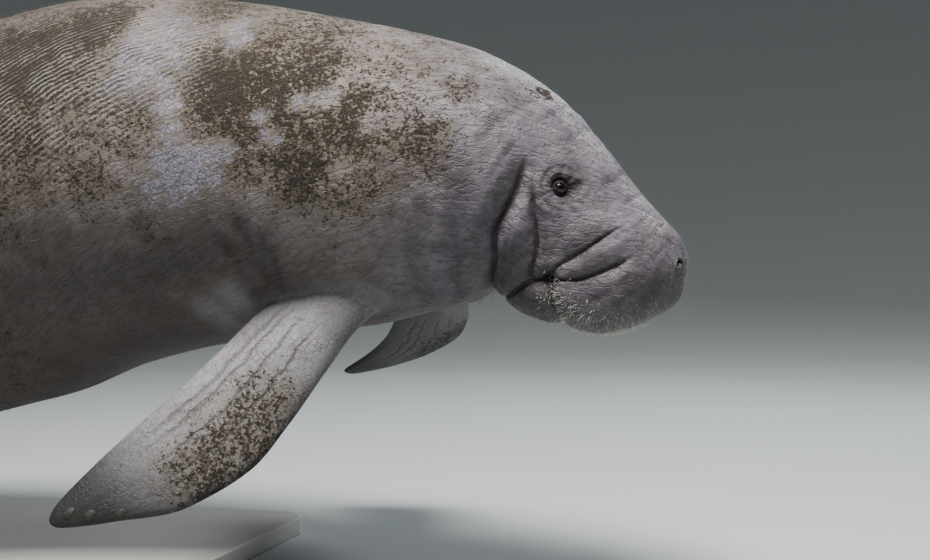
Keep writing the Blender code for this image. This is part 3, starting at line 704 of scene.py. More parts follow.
def shape_eye(skin, near, u, v, w):
    """Lids drawn over the eyeball, with grooves round them, a brow and fine rays across those."""
    # Painted shade of the sunken socket: a core, a band running up and forward from it, and a faint shade round both
    core = np.hypot((u - 0.001) / SOCKET_SHADE_CORE[0], (v - 0.0015) / SOCKET_SHADE_CORE[1])
    way, middle, length, width = SOCKET_SHADE_BAND
    band = np.hypot((u * math.cos(way) + v * math.sin(way) - middle) / length,
                    (v * math.cos(way) - u * math.sin(way)) / width)
    painted_shade = np.maximum(1.0 - eased(0.80, 1.35, core), 0.95 * (1.0 - eased(0.35, 1.25, band)))
    painted_shade = np.maximum(painted_shade, 0.30 * (1.0 - eased(0.4, 1.2, np.hypot(u, v) / 0.034)))
    skin.socket[near] = np.maximum(skin.socket[near], painted_shade)
    u, v = u * math.cos(EYE_TILT) + v * math.sin(EYE_TILT), v * math.cos(EYE_TILT) - u * math.sin(EYE_TILT)
    r = np.hypot(u, v)
    turn = np.arctan2(v, u)
    ball = EYE_RADIUS + LID_THICK
    dome = -EYE_DEPTH + np.sqrt(np.maximum(ball ** 2 - r ** 2, 0.0))
    inner = -EYE_DEPTH + np.sqrt(np.maximum((EYE_RADIUS - 0.0030) ** 2 - r ** 2, 0.0))
    opening = np.hypot(u / EYE_OPENING[0], v / EYE_OPENING[1])
    margin = eased(0.74, 1.10, opening)
    target = inner + margin * (dome - inner) + 0.0005 * bell(opening - 1.25, 0.22)
    blend = 1.0 - eased(LID_BLEND[0], LID_BLEND[1], r)
    push = blend * (target - w)
    wander = 1.0 + 0.07 * np.sin(3.0 * turn + 1.0) + 0.04 * np.sin(5.0 * turn + 0.4)
    for radius, depth, width in EYE_GROOVES:
        reach = radius * wander * np.hypot(np.cos(turn) * 0.92, np.sin(turn) * 1.10)
        strength = 0.62 + 0.38 * np.cos(turn - BROW_TURN)
        push -= depth * strength * bell(r - reach, width)
        # painted shade in the groove
        skin.crease[near] = np.maximum(skin.crease[near], 0.6 * strength * bell(r - reach, 1.2 * width))
    push += BROW[1] * bell(r - BROW[0], BROW[2]) * eased(0.1, 0.9, np.cos(turn - BROW_TURN))
    rays = np.cos(13.0 * turn + 3.0 * np.sin(2.0 * turn)) + 0.6 * np.cos(8.0 * turn + 1.0)
    push += EYE_RAYS * rays * eased(0.0080, 0.0120, r) * (1.0 - eased(0.022, 0.034, r))
    # painted shade inside the lid's edge
    skin.hole[near] = np.maximum(skin.hole[near], 1.0 - margin)
    return push


def shape_nostril(skin, near, u, v, rise):
    """A deep crescent over a round, raised valve."""
    r = np.hypot(u, v)
    turn = np.arctan2(v, u) - rise
    away = np.abs(np.degrees(np.arctan2(np.sin(turn), np.cos(turn))))
    window = 1.0 - eased(NOSTRIL_SWEEP - 40.0, NOSTRIL_SWEEP + 10.0, away)
    window = np.where(r < 0.002, 0.0, window)
    groove = window * bell(r - NOSTRIL_REACH, NOSTRIL_WIDTH)
    # Painted shade in the crescent groove and round it
    skin.hole[near] = np.maximum(skin.hole[near], groove)
    skin.crease[near] = np.maximum(skin.crease[near], window * bell(r - NOSTRIL_REACH, 0.0036))
    skin.valve[near] = np.maximum(skin.valve[near], bell(r, 0.0060))
    return -NOSTRIL_DEPTH * groove + VALVE_HEIGHT * bell(r, VALVE_WIDTH) + 0.0014 * bell(r - 0.0128, 0.0030)


def shape_eyes_and_nostrils(skin):
    """Draws the lids, the grooves round the eyes and the nostrils into the skin."""
    skin.socket = np.zeros(len(skin.points))
    skin.hole = np.zeros(len(skin.points))
    skin.valve = np.zeros(len(skin.points))
    for kind, _, (point, outward, forward, upward) in feature_frames():
        offset = skin.points - np.array(point)
        near = skin.on_body & (np.linalg.norm(offset, axis=1) < 0.045)
        u, v, w = (offset[near] @ np.array(axis) for axis in (forward, upward, outward))
        if kind == "eye":
            push = shape_eye(skin, near, u, v, w)
        else:
            push = shape_nostril(skin, near, u, v, math.atan2(upward.z, forward.z))
        skin.points[near] += push[:, None] * np.array(outward)


def shape_trunk(skin):
    """Adds soft lumps to the trunk, wrinkles to the head and the creases behind the flippers."""
    x, y, z = skin.points.T
    back = np.where(skin.on_body, skin.first, 0.9)
    away = eased(0.020, 0.045, skin.joint)
    lumps = sample_noise(x, y, z, 0.26, 1.7, 2) * 0.0040 + sample_noise(x, y, z, 0.085, 4.4, 2) * 0.0016
    on_trunk = eased(0.38, 0.70, back) * (1.0 - 0.6 * eased(2.1, 2.5, back)) * skin.on_body * away
    wrinkles = np.zeros(len(x))
    head = skin.on_body & (back < 0.62)
    rough = sample_noise(x[head], y[head], z[head], 0.019, 6.2, 3)
    coarse = sample_noise(x[head], y[head], z[head], 0.045, 2.2, 2)
    wrinkles[head] = (0.0007 * (1.0 - 2.0 * np.abs(rough)) + 0.0011 * coarse)
    wrinkles[head] *= eased(0.0, 0.05, back[head]) * (1.0 - eased(0.45, 0.62, back[head]))
    height = lumps * on_trunk + wrinkles * (1.0 - skin.hole) * (1.0 - 0.8 * skin.socket)
    right = skin.on_body & (y < 0.0)
    left = skin.on_body & (y >= 0.0)
    for path, depth, width in FLANK_CREASES:
        for side in (right, left):
            distance, along = along_path(x[side], z[side], curved(path))
            fade = eased(0.0, 0.3, along)
            height[side] -= fade * depth * bell(distance, width)
            # painted shade along the crease
            skin.crease[side] = np.maximum(skin.crease[side], 0.9 * fade * bell(distance, 1.1 * width))
    normals = mesh_normals(skin.item.data)
    skin.points += height[:, None] * normals
    set_points(skin.item.data, skin.points)


# Markings on the flanks, as (x, z, reach, strength) from the side, alike on both sides
ALGAE = (
    (0.440, 0.775, 0.075, 0.95), (0.480, 0.735, 0.070, 0.80), (0.715, 0.705, 0.065, 1.00),
    (0.574, 0.668, 0.055, 0.62), (0.875, 0.663, 0.080, 0.82), (0.966, 0.636, 0.055, 0.72),
    (0.815, 0.595, 0.060, 0.86), (0.744, 0.650, 0.050, 0.90), (0.482, 0.464, 0.060, 0.45),
    (0.613, 0.504, 0.055, 0.55), (0.442, 0.625, 0.070, 0.58), (0.744, 0.752, 0.055, 0.74),
    (1.009, 0.707, 0.045, 0.44), (0.898, 0.752, 0.090, 0.46), (0.637, 0.835, 0.080, 0.80),
    (0.540, 0.583, 0.055, 0.62), (0.800, 0.800, 0.090, 0.55), (0.340, 0.700, 0.110, 0.90),
    (0.900, 0.585, 0.040, 0.55), (0.830, 0.690, 0.060, 0.60), (1.000, 0.745, 0.100, 0.26),
    (0.950, 0.690, 0.100, 0.40), (1.085, 0.700, 0.080, 0.27), (0.930, 0.800, 0.100, 0.40),
    (0.860, 0.560, 0.060, 0.62), (0.700, 0.560, 0.050, 0.35),
    (0.560, 0.700, 0.070, 0.62), (0.380, 0.560, 0.100, 0.60), (0.250, 0.620, 0.140, 0.74),
    (0.400, 0.750, 0.110, 1.10), (0.500, 0.800, 0.070, 1.10),
)
ALGAE_PLAIN = 0.52            # on the rest of the upper side
BARE = (
    (0.664, 0.596, 0.044, 1.00), (0.648, 0.572, 0.036, 0.90), (0.690, 0.612, 0.024, 0.9),
    (0.603, 0.774, 0.062, 0.66), (0.585, 0.740, 0.048, 0.60), (0.625, 0.712, 0.035, 0.52),
    (0.640, 0.680, 0.022, 0.90), (0.646, 0.650, 0.018, 0.85),
    (0.692, 0.802, 0.020, 0.70), (0.706, 0.782, 0.018, 0.66), (0.716, 0.622, 0.018, 0.75),
    (0.827, 0.691, 0.018, 0.56), (0.806, 0.689, 0.018, 0.56), (0.848, 0.698, 0.018, 0.50),
    (0.760, 0.668, 0.018, 0.55), (0.778, 0.640, 0.018, 0.50), (0.900, 0.660, 0.020, 0.45),
)
SMOOTH = ((0.700, 0.422, 0.036, 1.0), (0.665, 0.402, 0.040, 0.9), (0.725, 0.452, 0.026, 0.7))
COMBED = ((0.436, 0.724, 0.110), (0.560, 0.745, 0.085), (0.612, 0.768, 0.062), (0.330, 0.740, 0.140))
SCARS = (
    (1.110, 0.711, 0.007, 1.00), (1.103, 0.717, 0.005, 0.70), (1.114, 0.703, 0.006, 0.76),
    (1.098, 0.709, 0.006, 0.66), (1.119, 0.703, 0.004, 0.70), (1.103, 0.701, 0.005, 0.66),
)
CHEEK_MARKS = ((1.117, 0.521, 0.007, 0.8), (1.142, 0.553, 0.004, 1.0), (1.103, 0.606, 0.006, 0.4))

# Pads of short bristles, as places on the head's axis with reach and strength
BRISTLE_PADS = (
    (0.134, -0.070, 0.016, 1.0), (0.115, -0.072, 0.016, 1.0), (0.097, -0.080, 0.018, 1.0),
    (0.082, -0.080, 0.018, 1.0), (0.064, -0.072, 0.018, 0.9), (0.046, -0.058, 0.018, 0.8),
    (0.030, -0.040, 0.016, 0.7), (0.124, -0.088, 0.012, 0.8), (0.108, -0.092, 0.012, 0.8),
)
# Painted shade on the jowls, lower jaw and cheeks, as places on the head's axis with reach and strength
SHADED_HEAD_PLACES = (
    (0.232, -0.100, 0.050, 0.75), (0.165, -0.118, 0.042, 0.90), (0.205, -0.130, 0.040, 0.80),
    (0.190, -0.040, 0.046, 0.60), (0.150, -0.075, 0.034, 0.50), (0.245, -0.020, 0.050, 0.40),
    (0.155, -0.010, 0.045, 0.30), (0.330, -0.120, 0.060, 0.35),
)
# Spots, as (x, z, reach, strength), where the painted shade of down-facing skin is lifted
LIT_PLACES = (
    (0.955, 0.515, 0.100, 0.80), (0.860, 0.490, 0.080, 0.55), (1.195, 0.435, 0.055, 0.70),
    (1.150, 0.455, 0.040, 0.50),
)
THROAT = ((0.236, -0.146, 0.014, 1.0), (0.222, -0.140, 0.010, 0.8), (0.250, -0.160, 0.012, 0.8))


def spots(x, z, places, y=None):
    """How strongly a list of (x, z, reach, strength) spots covers each point."""
    total = np.zeros(np.shape(x))
    for centre_x, centre_z, reach, *strength in places:
        distance = np.hypot(x - centre_x, z - centre_z)
        total = np.maximum(total, (strength[0] if strength else 1.0) * bell(distance, reach))
    return total


def paint(skin):
    """Works out where algae, bare skin, combed wrinkles, bristles and marks are, and where shade is painted."""
    x, y, z = skin.points.T
    back = np.where(skin.on_body, skin.first, 0.0)
    angle = skin.second
    body = skin.on_body.astype(float)
    top = 0.5 + 0.5 * np.cos(angle)
    wide = sample_noise(x, y, z, 0.30, 9.3, 3)
    behind = eased(0.98, 1.25, back)
    plain = (ALGAE_PLAIN + 0.30 * wide) * eased(0.25, 0.62, top) + 0.12 * eased(0.2, 0.5, top)
    plain += behind * (0.10 + 0.25 * wide) * eased(0.30, 0.75, top)
    algae = np.maximum(plain * eased(0.38, 0.55, back), spots(x, z, ALGAE))
    algae *= eased(0.22, 0.34, back) * eased(0.16, 0.40, top)
    algae = np.maximum(algae, 0.26 * eased(0.70, 1.10, back))
    algae *= 1.0 - 0.9 * spots(x, z, BARE)
    reach = eased(0.34, 0.54, skin.first) * (1.0 - eased(0.72, 0.86, skin.first))
    leading = eased(0.06, 0.74, 0.5 + 0.5 * np.cos(skin.second))
    skin.algae = np.where(skin.on_body, np.clip(algae, 0.0, 1.0), 0.66 * reach * leading)
    skin.bare = np.clip(spots(x, z, BARE), 0.0, 1.0) * body
    skin.smooth = spots(x, z, SMOOTH) * body
    # Painted shade: down-facing skin is darkened except in the lit spots, as are the jaw, cheeks and left flipper's
    # inner face; less on the smooth patch
    painted_shade = [(*head_place(along, up), reach, strength) for along, up, reach, strength in SHADED_HEAD_PLACES]
    normals = mesh_normals(skin.item.data)
    skin.under = eased(-0.25, 0.60, -normals[:, 2]) * (1.0 - spots(x, z, LIT_PLACES))
    skin.under = np.maximum(skin.under, spots(x, z, painted_shade) * body * (back < 0.46))
    inner = eased(-0.3, 0.4, -normals[:, 1])
    skin.under = np.maximum(skin.under, 0.95 * (skin.part == 2) * inner * eased(0.0, 0.05, skin.joint))
    skin.under *= 1.0 - 0.7 * skin.smooth
    ground = (1.0 - skin.socket) * (1.0 - eased(0.0, 0.3, skin.hole)) * (1.0 - eased(0.2, 0.6, skin.valve))
    skin.hairy = ground * eased(0.012, 0.030, skin.joint)
    skin.hairy *= np.where(skin.on_body, eased(0.30, 0.42, back), 1.0 - eased(0.55, 0.80, skin.first))
    skin.whiskered = body * ground * (1.0 - eased(0.34, 0.42, back))
    skin.whiskered *= 0.22 + 0.78 * (1.0 - eased(0.06, 0.16, back))
    rear = eased(0.45, 0.8, top) * (1.0 - eased(1.7, 2.2, back)) * eased(-0.2, 0.3, wide)
    skin.combed = np.clip(spots(x, z, COMBED) + 0.22 * behind * rear, 0.0, 1.0) * body
    skin.combed *= 1.0 - eased(0.93, 0.99, top)
    head_spots = [(*head_place(along, up), reach, strength) for along, up, reach, strength in BRISTLE_PADS]
    under = eased(math.radians(88.0), math.radians(104.0), np.minimum(angle, 2.0 * math.pi - angle))
    skin.bristly = np.clip(spots(x, z, head_spots) * under * (back < 0.16), 0.0, 1.0) * body
    skin.scar = spots(x, z, SCARS) * body * (1.0 - eased(-0.030, -0.018, y))
    skin.mark = spots(x, z, CHEEK_MARKS) * body * (y < 0.0)
    skin.limb = 1.0 - body * eased(0.0, 0.03, skin.joint)
    skin.tip = np.where(skin.on_body, 0.0, eased(0.68, 0.92, skin.first))
    skin.front = body * (1.0 - eased(0.30, 0.48, back))
    # Painted shade along each flipper's root
    skin.crease = np.maximum(skin.crease, 0.32 * bell(skin.joint, 0.0095))
    throat = [(*head_place(along, up), reach, strength) for along, up, reach, strength in THROAT]
    skin.throat = np.clip(spots(x, z, throat) - 0.25, 0.0, 1.0) * (back > 0.19) * body
    slope = line_slope(skin.first)
    skin.flow = np.column_stack([-np.cos(slope), np.zeros(len(x)), -np.sin(slope)])
    for number, (_, limb, _) in enumerate(LIMBS, 1):
        way = np.array(limb["tip"]) - np.array(limb["elbow"])
        skin.flow[skin.part == number] = way / np.linalg.norm(way)
    skin.seam = 1.0 - eased(0.004, 0.022, skin.joint)
    skin.limb_lines = np.where(skin.on_body, 0.0, eased(0.30, 0.40, skin.first)
                               * (1.0 - eased(0.66, 0.80, skin.first)))


def lie_of_skin(skin):
    """Distance along and round the body, or along and across the flipper, in metres."""
    half = np.minimum(skin.second, 2.0 * math.pi - skin.second)
    size = np.sqrt(np.maximum(body_size(1, skin.first) * 0.5 * (body_size(2, skin.first)
                                                              - body_size(3, skin.first)), 1e-6))
    girth = np.where(skin.on_body, size * half, 0.09 * np.cos(skin.second))
    along = np.where(skin.on_body, skin.first, FLIPPER_LENGTH * skin.first)
    return np.column_stack([along, girth, skin.points[:, 1]])


def unwrap_of_skin(skin):
    """A flat place for each point, the body's in one sheet and each flipper's in its own."""
    u = np.where(skin.on_body, 0.02 + 0.96 * skin.first / BODY_LENGTH, 0.02 + 0.45 * skin.first)
    u = np.where(skin.part == 2, u + 0.49, u)
    v = np.where(skin.on_body, 0.32 + 0.66 * skin.second / (2.0 * math.pi),
                 0.02 + 0.26 * skin.second / (2.0 * math.pi))
    return np.column_stack([u, v, np.zeros(len(u))])


def store(mesh, name, values):
    if values.ndim == 1:
        layer = mesh.attributes.new(name, "FLOAT", "POINT")
        layer.data.foreach_set("value", values.astype(np.float32))
    else:
        layer = mesh.attributes.new(name, "FLOAT_VECTOR", "POINT")
        layer.data.foreach_set("vector", values.astype(np.float32).ravel())


def add_camera():
    data = bpy.data.cameras.new("camera")
    data.lens = CAMERA_LENS
    data.sensor_width = SENSOR_WIDTH
    data.clip_end = 60.0
    camera = bpy.data.objects.new("camera", data)
    camera.location = CAMERA_PLACE
    camera.rotation_euler = (math.radians(90.0), 0.0, math.radians(CAMERA_AZIMUTH))
    bpy.context.scene.collection.objects.link(camera)
    bpy.context.scene.camera = camera


# Materials

class Wire:
    """A socket that can be used in sums."""

    def __init__(self, recipe, socket):
        self.recipe = recipe
        self.socket = socket

    def __add__(self, other):
        return self.recipe.math("ADD", self, other)

    def __sub__(self, other):
        return self.recipe.math("SUBTRACT", self, other)

    def __rsub__(self, other):
        return self.recipe.math("SUBTRACT", other, self)

    def __mul__(self, other):
        return self.recipe.math("MULTIPLY", self, other)

    def __truediv__(self, other):
        return self.recipe.math("DIVIDE", self, other)

    def __rtruediv__(self, other):
        return self.recipe.math("DIVIDE", other, self)

    def __pow__(self, other):
        return self.recipe.math("POWER", self, other)

    __radd__ = __add__
    __rmul__ = __mul__


class Graph:
    """A node tree, built one node at a time."""

    def __init__(self, tree):
        self.tree = tree

    def node(self, kind, settings=None, inputs=None, output=0):
        made = self.tree.nodes.new(kind)
        for name, value in (settings or {}).items():
            setattr(made, name, value)
        for name, value in (inputs or {}).items():
            if isinstance(value, Wire):
                self.tree.links.new(value.socket, made.inputs[name])
            else:
                made.inputs[name].default_value = value
        return Wire(self, made.outputs[output])

    def math(self, operation, first, second=0.0):
        return self.node("ShaderNodeMath", {"operation": operation}, {0: first, 1: second})

    def vector(self, operation, first, second):
        return self.node("ShaderNodeVectorMath", {"operation": operation}, {0: first, 1: second})


class Recipe(Graph):
    """A material's node tree."""

    def __init__(self, name):
        self.material = bpy.data.materials.new(name)
        self.material.use_nodes = True
        super().__init__(self.material.node_tree)
        self.tree.nodes.clear()
        self.output = self.tree.nodes.new("ShaderNodeOutputMaterial")

    def attribute(self, name, output="Fac"):
        return self.node("ShaderNodeAttribute", {"attribute_name": name}, output=output)

    def between(self, value, low, high):
        """0 below low, 1 above high, smooth between."""
        return self.node("ShaderNodeMapRange", {"interpolation_type": "SMOOTHSTEP"},
                         {"Value": value, "From Min": low, "From Max": high})

    def noise(self, place, size, detail=3.0, rough=0.55, output="Fac"):
        return self.node("ShaderNodeTexNoise", {"noise_dimensions": "3D"},
                         {"Vector": place, "Scale": 1.0 / size, "Detail": detail, "Roughness": rough},
                         output)

    def cells(self, place, size, feature="DISTANCE_TO_EDGE", random=1.0, output="Distance"):
        return self.node("ShaderNodeTexVoronoi", {"feature": feature},
                         {"Vector": place, "Scale": 1.0 / size, "Randomness": random}, output)

    def colours(self, factor, first, second, blend="MIX"):
        made = self.tree.nodes.new("ShaderNodeMix")
        made.data_type = "RGBA"
        made.blend_type = blend
        for socket, value in ((made.inputs[0], factor), (made.inputs[6], first), (made.inputs[7], second)):
            if isinstance(value, Wire):
                self.tree.links.new(value.socket, socket)
            elif isinstance(value, tuple):
                socket.default_value = (*value, 1.0)
            else:
                socket.default_value = value
        return Wire(self, made.outputs[2])

    def bump(self, height, strength, distance):
        return self.node("ShaderNodeBump", None,
                         {"Height": height, "Strength": strength, "Distance": distance})

    def finish(self, inputs):
        shader = self.node("ShaderNodeBsdfPrincipled", None, inputs)
        self.tree.links.new(shader.socket, self.output.inputs["Surface"])
        return self.material


def plain_finish(name, colour, roughness, **more):
    recipe = Recipe(name)
    inputs = {"Base Color": (*colour, 1.0), "Roughness": roughness}
    inputs.update(more)
    return recipe.finish(inputs)


# What the skin's finish reads from the mesh, and the comb lines' slant and spacing
SKIN_VALUES = ("algae", "bare", "smooth", "under", "crease", "combed", "bristly", "scar", "mark", "limb", "tip",
               "front", "socket", "hole", "valve", "limb_lines", "seam")
COMB_SLANT = math.radians(42.0)
COMB_SPACING = 0.0070


def skin_finish():
    recipe = Recipe("skin")
    place = recipe.node("ShaderNodeTexCoord", output="Object")
    (algae, bare, smooth, under, crease, combed, bristly, scar, mark, limb, tip, front, socket, hole, valve,
     limb_lines, seam) = (recipe.attribute(name) for name in SKIN_VALUES)
    lie = recipe.attribute("lie", "Vector")

    # Slow changes of tone, then finer ones
    broad = recipe.noise(place, 0.16, 3.0, 0.55)
    mottle = recipe.noise(place, 0.035, 5.0, 0.62)
    clump = recipe.noise(place, 0.034, 4.0, 0.62)
    fine = recipe.noise(place, 0.0085, 4.0, 0.60)
    grain = recipe.noise(place, 0.0032, 3.0, 0.60)

    # A net of fine lines that comes and goes
    warp = recipe.noise(place, 0.020, 3.0, 0.6, "Color")
    bent = recipe.vector("ADD", place, recipe.vector("MULTIPLY", warp, (0.022, 0.022, 0.022)))
    net = recipe.cells(recipe.vector("MULTIPLY", bent, (0.75, 1.0, 1.15)), 0.0092)
    lines = 1.0 - recipe.between(net, 0.0, 0.17)
    lines = lines * (0.15 + 0.85 * recipe.between(mottle, 0.42, 0.66)) * (1.0 - smooth)

    # Long slanting wrinkles, and parallel ones that look combed
    around = recipe.node("ShaderNodeSeparateXYZ", None, {0: lie}, "Y")
    along = Wire(recipe, around.socket.node.outputs["X"])
    across = around * math.cos(COMB_SLANT) - along * math.sin(COMB_SLANT) + (mottle - 0.5) * 0.016
    length = (around * math.sin(COMB_SLANT) + along * math.cos(COMB_SLANT)) * 0.16
    streak = recipe.noise(recipe.node("ShaderNodeCombineXYZ", None, {0: length, 1: across, 2: 0.0}),
                          0.0105, 3.0, 0.55)
    streaks = 1.0 - recipe.between(recipe.math("ABSOLUTE", streak - 0.5), 0.0, 0.060)
    streaks = streaks * (1.0 - limb * 0.6) * (1.0 - seam)
    wave = recipe.math("SINE", across * (2.0 * math.pi / COMB_SPACING))
    kept = combed * (0.15 + recipe.between(mottle, 0.40, 0.60) * 0.85)
    comb = recipe.between(wave, -0.1, 0.9) * kept
    furrow = recipe.between(wave, -0.1, -0.9) * kept

    # Long creases down a flipper
    wave = around * (1.0 / 0.09) + (mottle - 0.5) * 0.30
    long_lines = recipe.between(recipe.math("ABSOLUTE", wave + 0.62), 0.085, 0.0)
    for centre in (0.40, 0.05, -0.35):
        long_lines = recipe.math("MAXIMUM", long_lines, recipe.between(
            recipe.math("ABSOLUTE", wave + centre), 0.060, 0.0))
    long_lines = long_lines * limb_lines * (1.0 - seam)

    # Algae: a thin film, specks on it, and thick clumps
    tuft = recipe.noise(place, 0.0100, 3.0, 0.60)
    speck = recipe.noise(place, 0.0040, 3.0, 0.62)
    film = recipe.between(algae + (clump - 0.5) * 0.9, 0.08, 0.66)
    cover = algae * 1.06 + (clump - 0.5) * 0.75 + (tuft - 0.5) * 1.5 + (speck - 0.5) * 2.2 - comb * 0.30
    cover = cover + furrow * 0.15 + streaks * 0.10 - (1.0 - recipe.between(algae, 0.02, 0.22)) * 0.5
    grown = recipe.between(cover, 0.52, 0.76)
    thick = recipe.between(cover, 0.72, 1.00)
    bald = recipe.between(bare + (clump - 0.5) * 2.4 + (tuft - 0.5) * 2.2 + (speck - 0.5) * 1.2, 0.40, 0.58)
    bald = bald * recipe.between(bare, 0.06, 0.26)
    grown = grown * (1.0 - bald * 0.75)

    # Colours
    tones = recipe.between(broad, 0.35, 0.65)
    body_tone = recipe.colours(tones, (0.150, 0.126, 0.116), (0.215, 0.188, 0.182))
    head_tone = recipe.colours(tones, (0.105, 0.092, 0.110), (0.183, 0.166, 0.198))
    limb_tone = recipe.colours(tones, (0.214, 0.211, 0.213), (0.300, 0.299, 0.304))
    tone = recipe.colours(limb, recipe.colours(front, body_tone, head_tone), limb_tone)
    tone = recipe.colours(recipe.between(mottle, 0.40, 0.66) * 0.46, tone, (0.290, 0.262, 0.274))
    tone = recipe.colours(recipe.between(clump, 0.46, 0.70) * (1.0 - limb) * 0.34, tone, (0.066, 0.052, 0.044))
    tone = recipe.colours(recipe.between(fine, 0.52, 0.70) * 0.35, tone, (0.090, 0.075, 0.070))
    pale = recipe.colours(recipe.between(grain, 0.38, 0.62), (0.138, 0.131, 0.163), (0.292, 0.282, 0.330))
    tone = recipe.colours(bald * 0.90, tone, pale)
    tone = recipe.colours(recipe.between(smooth + (clump - 0.5) * 0.9, 0.25, 0.95) * 0.72, tone,
                          (0.250, 0.252, 0.262))
    tone = recipe.colours(film * (1.0 - bald * 0.7) * 0.58, tone, (0.112, 0.087, 0.056))
    growth = recipe.colours(recipe.between(fine, 0.36, 0.62), (0.022, 0.015, 0.009), (0.076, 0.056, 0.033))
    tone = recipe.colours(grown * 0.76, tone, growth)
    tone = recipe.colours(thick * (1.0 - bald * 0.75) * 0.82, tone, (0.018, 0.013, 0.008))
    tone = recipe.colours(lines * (1.0 - 0.45 * front) * 0.26, tone, (0.060, 0.050, 0.046))
    tone = recipe.colours(streaks * 0.24, tone, (0.065, 0.054, 0.050))
    tone = recipe.colours(furrow * 0.45, tone, (0.050, 0.042, 0.034))
    tone = recipe.colours(comb * 0.54, tone, (0.385, 0.366, 0.378))
    tone = recipe.colours(long_lines * 0.55, tone, (0.080, 0.072, 0.070))
    scarred = recipe.between(scar + (fine - 0.5) * 1.3 + (speck - 0.5) * 1.6, 0.36, 0.58)
    tone = recipe.colours(scarred * 0.88, tone, (0.026, 0.012, 0.008))
    tone = recipe.colours(recipe.between(mark, 0.25, 0.8) * 0.34, tone, (0.330, 0.185, 0.135))
    tone = recipe.colours(bristly * 0.30, tone, (0.330, 0.305, 0.290))
    tone = recipe.colours(valve * 0.40, tone, (0.330, 0.305, 0.305))
    tone = recipe.colours(tip * 0.88, tone, (0.020, 0.020, 0.021))
    # Painted shade: undersides, the eye sockets, creases, and the holes of the eyes and nostrils are darkened
    tone = recipe.colours(under * 0.68, tone, (0.026, 0.024, 0.025))
    tone = recipe.colours(socket * 0.94, tone, (0.014, 0.010, 0.014))
    tone = recipe.colours(crease * 0.66, tone, (0.032, 0.025, 0.026))
    tone = recipe.colours(hole, tone, (0.010, 0.008, 0.009))

    # Relief
    height = mottle * 0.9 + fine * 0.50 + grain * 0.20 - lines * 0.30 - streaks * 0.34
    height = height * (1.0 - smooth * 0.7) + comb * 0.9 - furrow * 0.3
    height = height + grown * 0.30 + thick * 0.35 - long_lines * 0.9
    normal = recipe.bump(height, 0.85, 0.0022)
    rough = 0.55 + grown * 0.25 - bald * 0.05 + (fine - 0.5) * 0.16 - crease * 0.08 + socket * 0.20 + scarred * 0.45
    return recipe.finish({"Base Color": tone, "Roughness": rough, "Normal": normal,
                          "Specular IOR Level": 0.42})


def eye_finish():
    recipe = Recipe("eye")
    ring = recipe.attribute("ring")
    streaks = recipe.noise(recipe.node("ShaderNodeTexCoord", output="Object"), 0.0012, 3.0)
    iris = recipe.colours(recipe.between(streaks, 0.35, 0.65), (0.014, 0.007, 0.004), (0.034, 0.018, 0.010))
    colour = recipe.colours(recipe.between(ring, 0.40, 0.46), (0.003, 0.002, 0.002), iris)
    colour = recipe.colours(recipe.between(ring, 0.80, 0.95), colour, (0.026, 0.018, 0.017))
    return recipe.finish({"Base Color": colour, "Roughness": 0.18, "Coat Weight": 0.6,
                          "Coat Roughness": 0.04, "Specular IOR Level": 0.4})


def nail_finish():
    recipe = Recipe("nail")
    place = recipe.node("ShaderNodeTexCoord", output="Object")
    fine = recipe.noise(place, 0.0030, 4.0)
    colour = recipe.colours(recipe.between(fine, 0.35, 0.65), (0.034, 0.030, 0.027), (0.066, 0.059, 0.052))
    return recipe.finish({"Base Color": colour, "Roughness": 0.62, "Normal": recipe.bump(fine, 0.5, 0.0006)})


def board_finish():
    recipe = Recipe("stand_board")
    place = recipe.node("ShaderNodeTexCoord", output="Object")
    cloud = recipe.noise(place, 0.25, 4.0)
    orange = recipe.noise(place, 0.0020, 2.0)
    colour = recipe.colours(recipe.between(cloud, 0.3, 0.7), (0.600, 0.585, 0.550), (0.640, 0.622, 0.588))
    return recipe.finish({"Base Color": colour, "Roughness": 0.40 + cloud * 0.10,
                          "Normal": recipe.bump(orange, 0.25, 0.0003)})


def steel_finish():
    recipe = Recipe("stand_steel")
    place = recipe.node("ShaderNodeTexCoord", output="Object")
    stretched = recipe.vector("MULTIPLY", place, (1.0, 1.0, 0.02))
    brushed = recipe.noise(stretched, 0.0009, 4.0)
    colour = recipe.colours(recipe.between(brushed, 0.3, 0.7), (0.480, 0.480, 0.485), (0.600, 0.600, 0.605))
    return recipe.finish({"Base Color": colour, "Metallic": 1.0, "Roughness": 0.24 + brushed * 0.16,
                          "Normal": recipe.bump(brushed, 0.2, 0.0002)})


FLESH = ("head", "neck", "muzzle", "lower_jaw", "torso_front", "torso_middle", "torso_rear", "tail_stock",
         "tail_paddle", "flipper_right", "flipper_left")


def add_skin():
    skin = Skin()
    shape_eyes_and_nostrils(skin)
    set_points(skin.item.data, skin.points)
    shape_trunk(skin)
    paint(skin)
    mesh = skin.item.data
    for name in SKIN_VALUES + ("hairy", "whiskered", "throat", "flow"):
        store(mesh, name, getattr(skin, name))
    store(mesh, "lie", lie_of_skin(skin))
    store(mesh, "unwrap", unwrap_of_skin(skin))
    mesh.materials.clear()
    mesh.materials.append(skin_finish())
    mesh.shade_smooth()
    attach(skin.item, "root")
    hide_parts(*FLESH)
    return skin


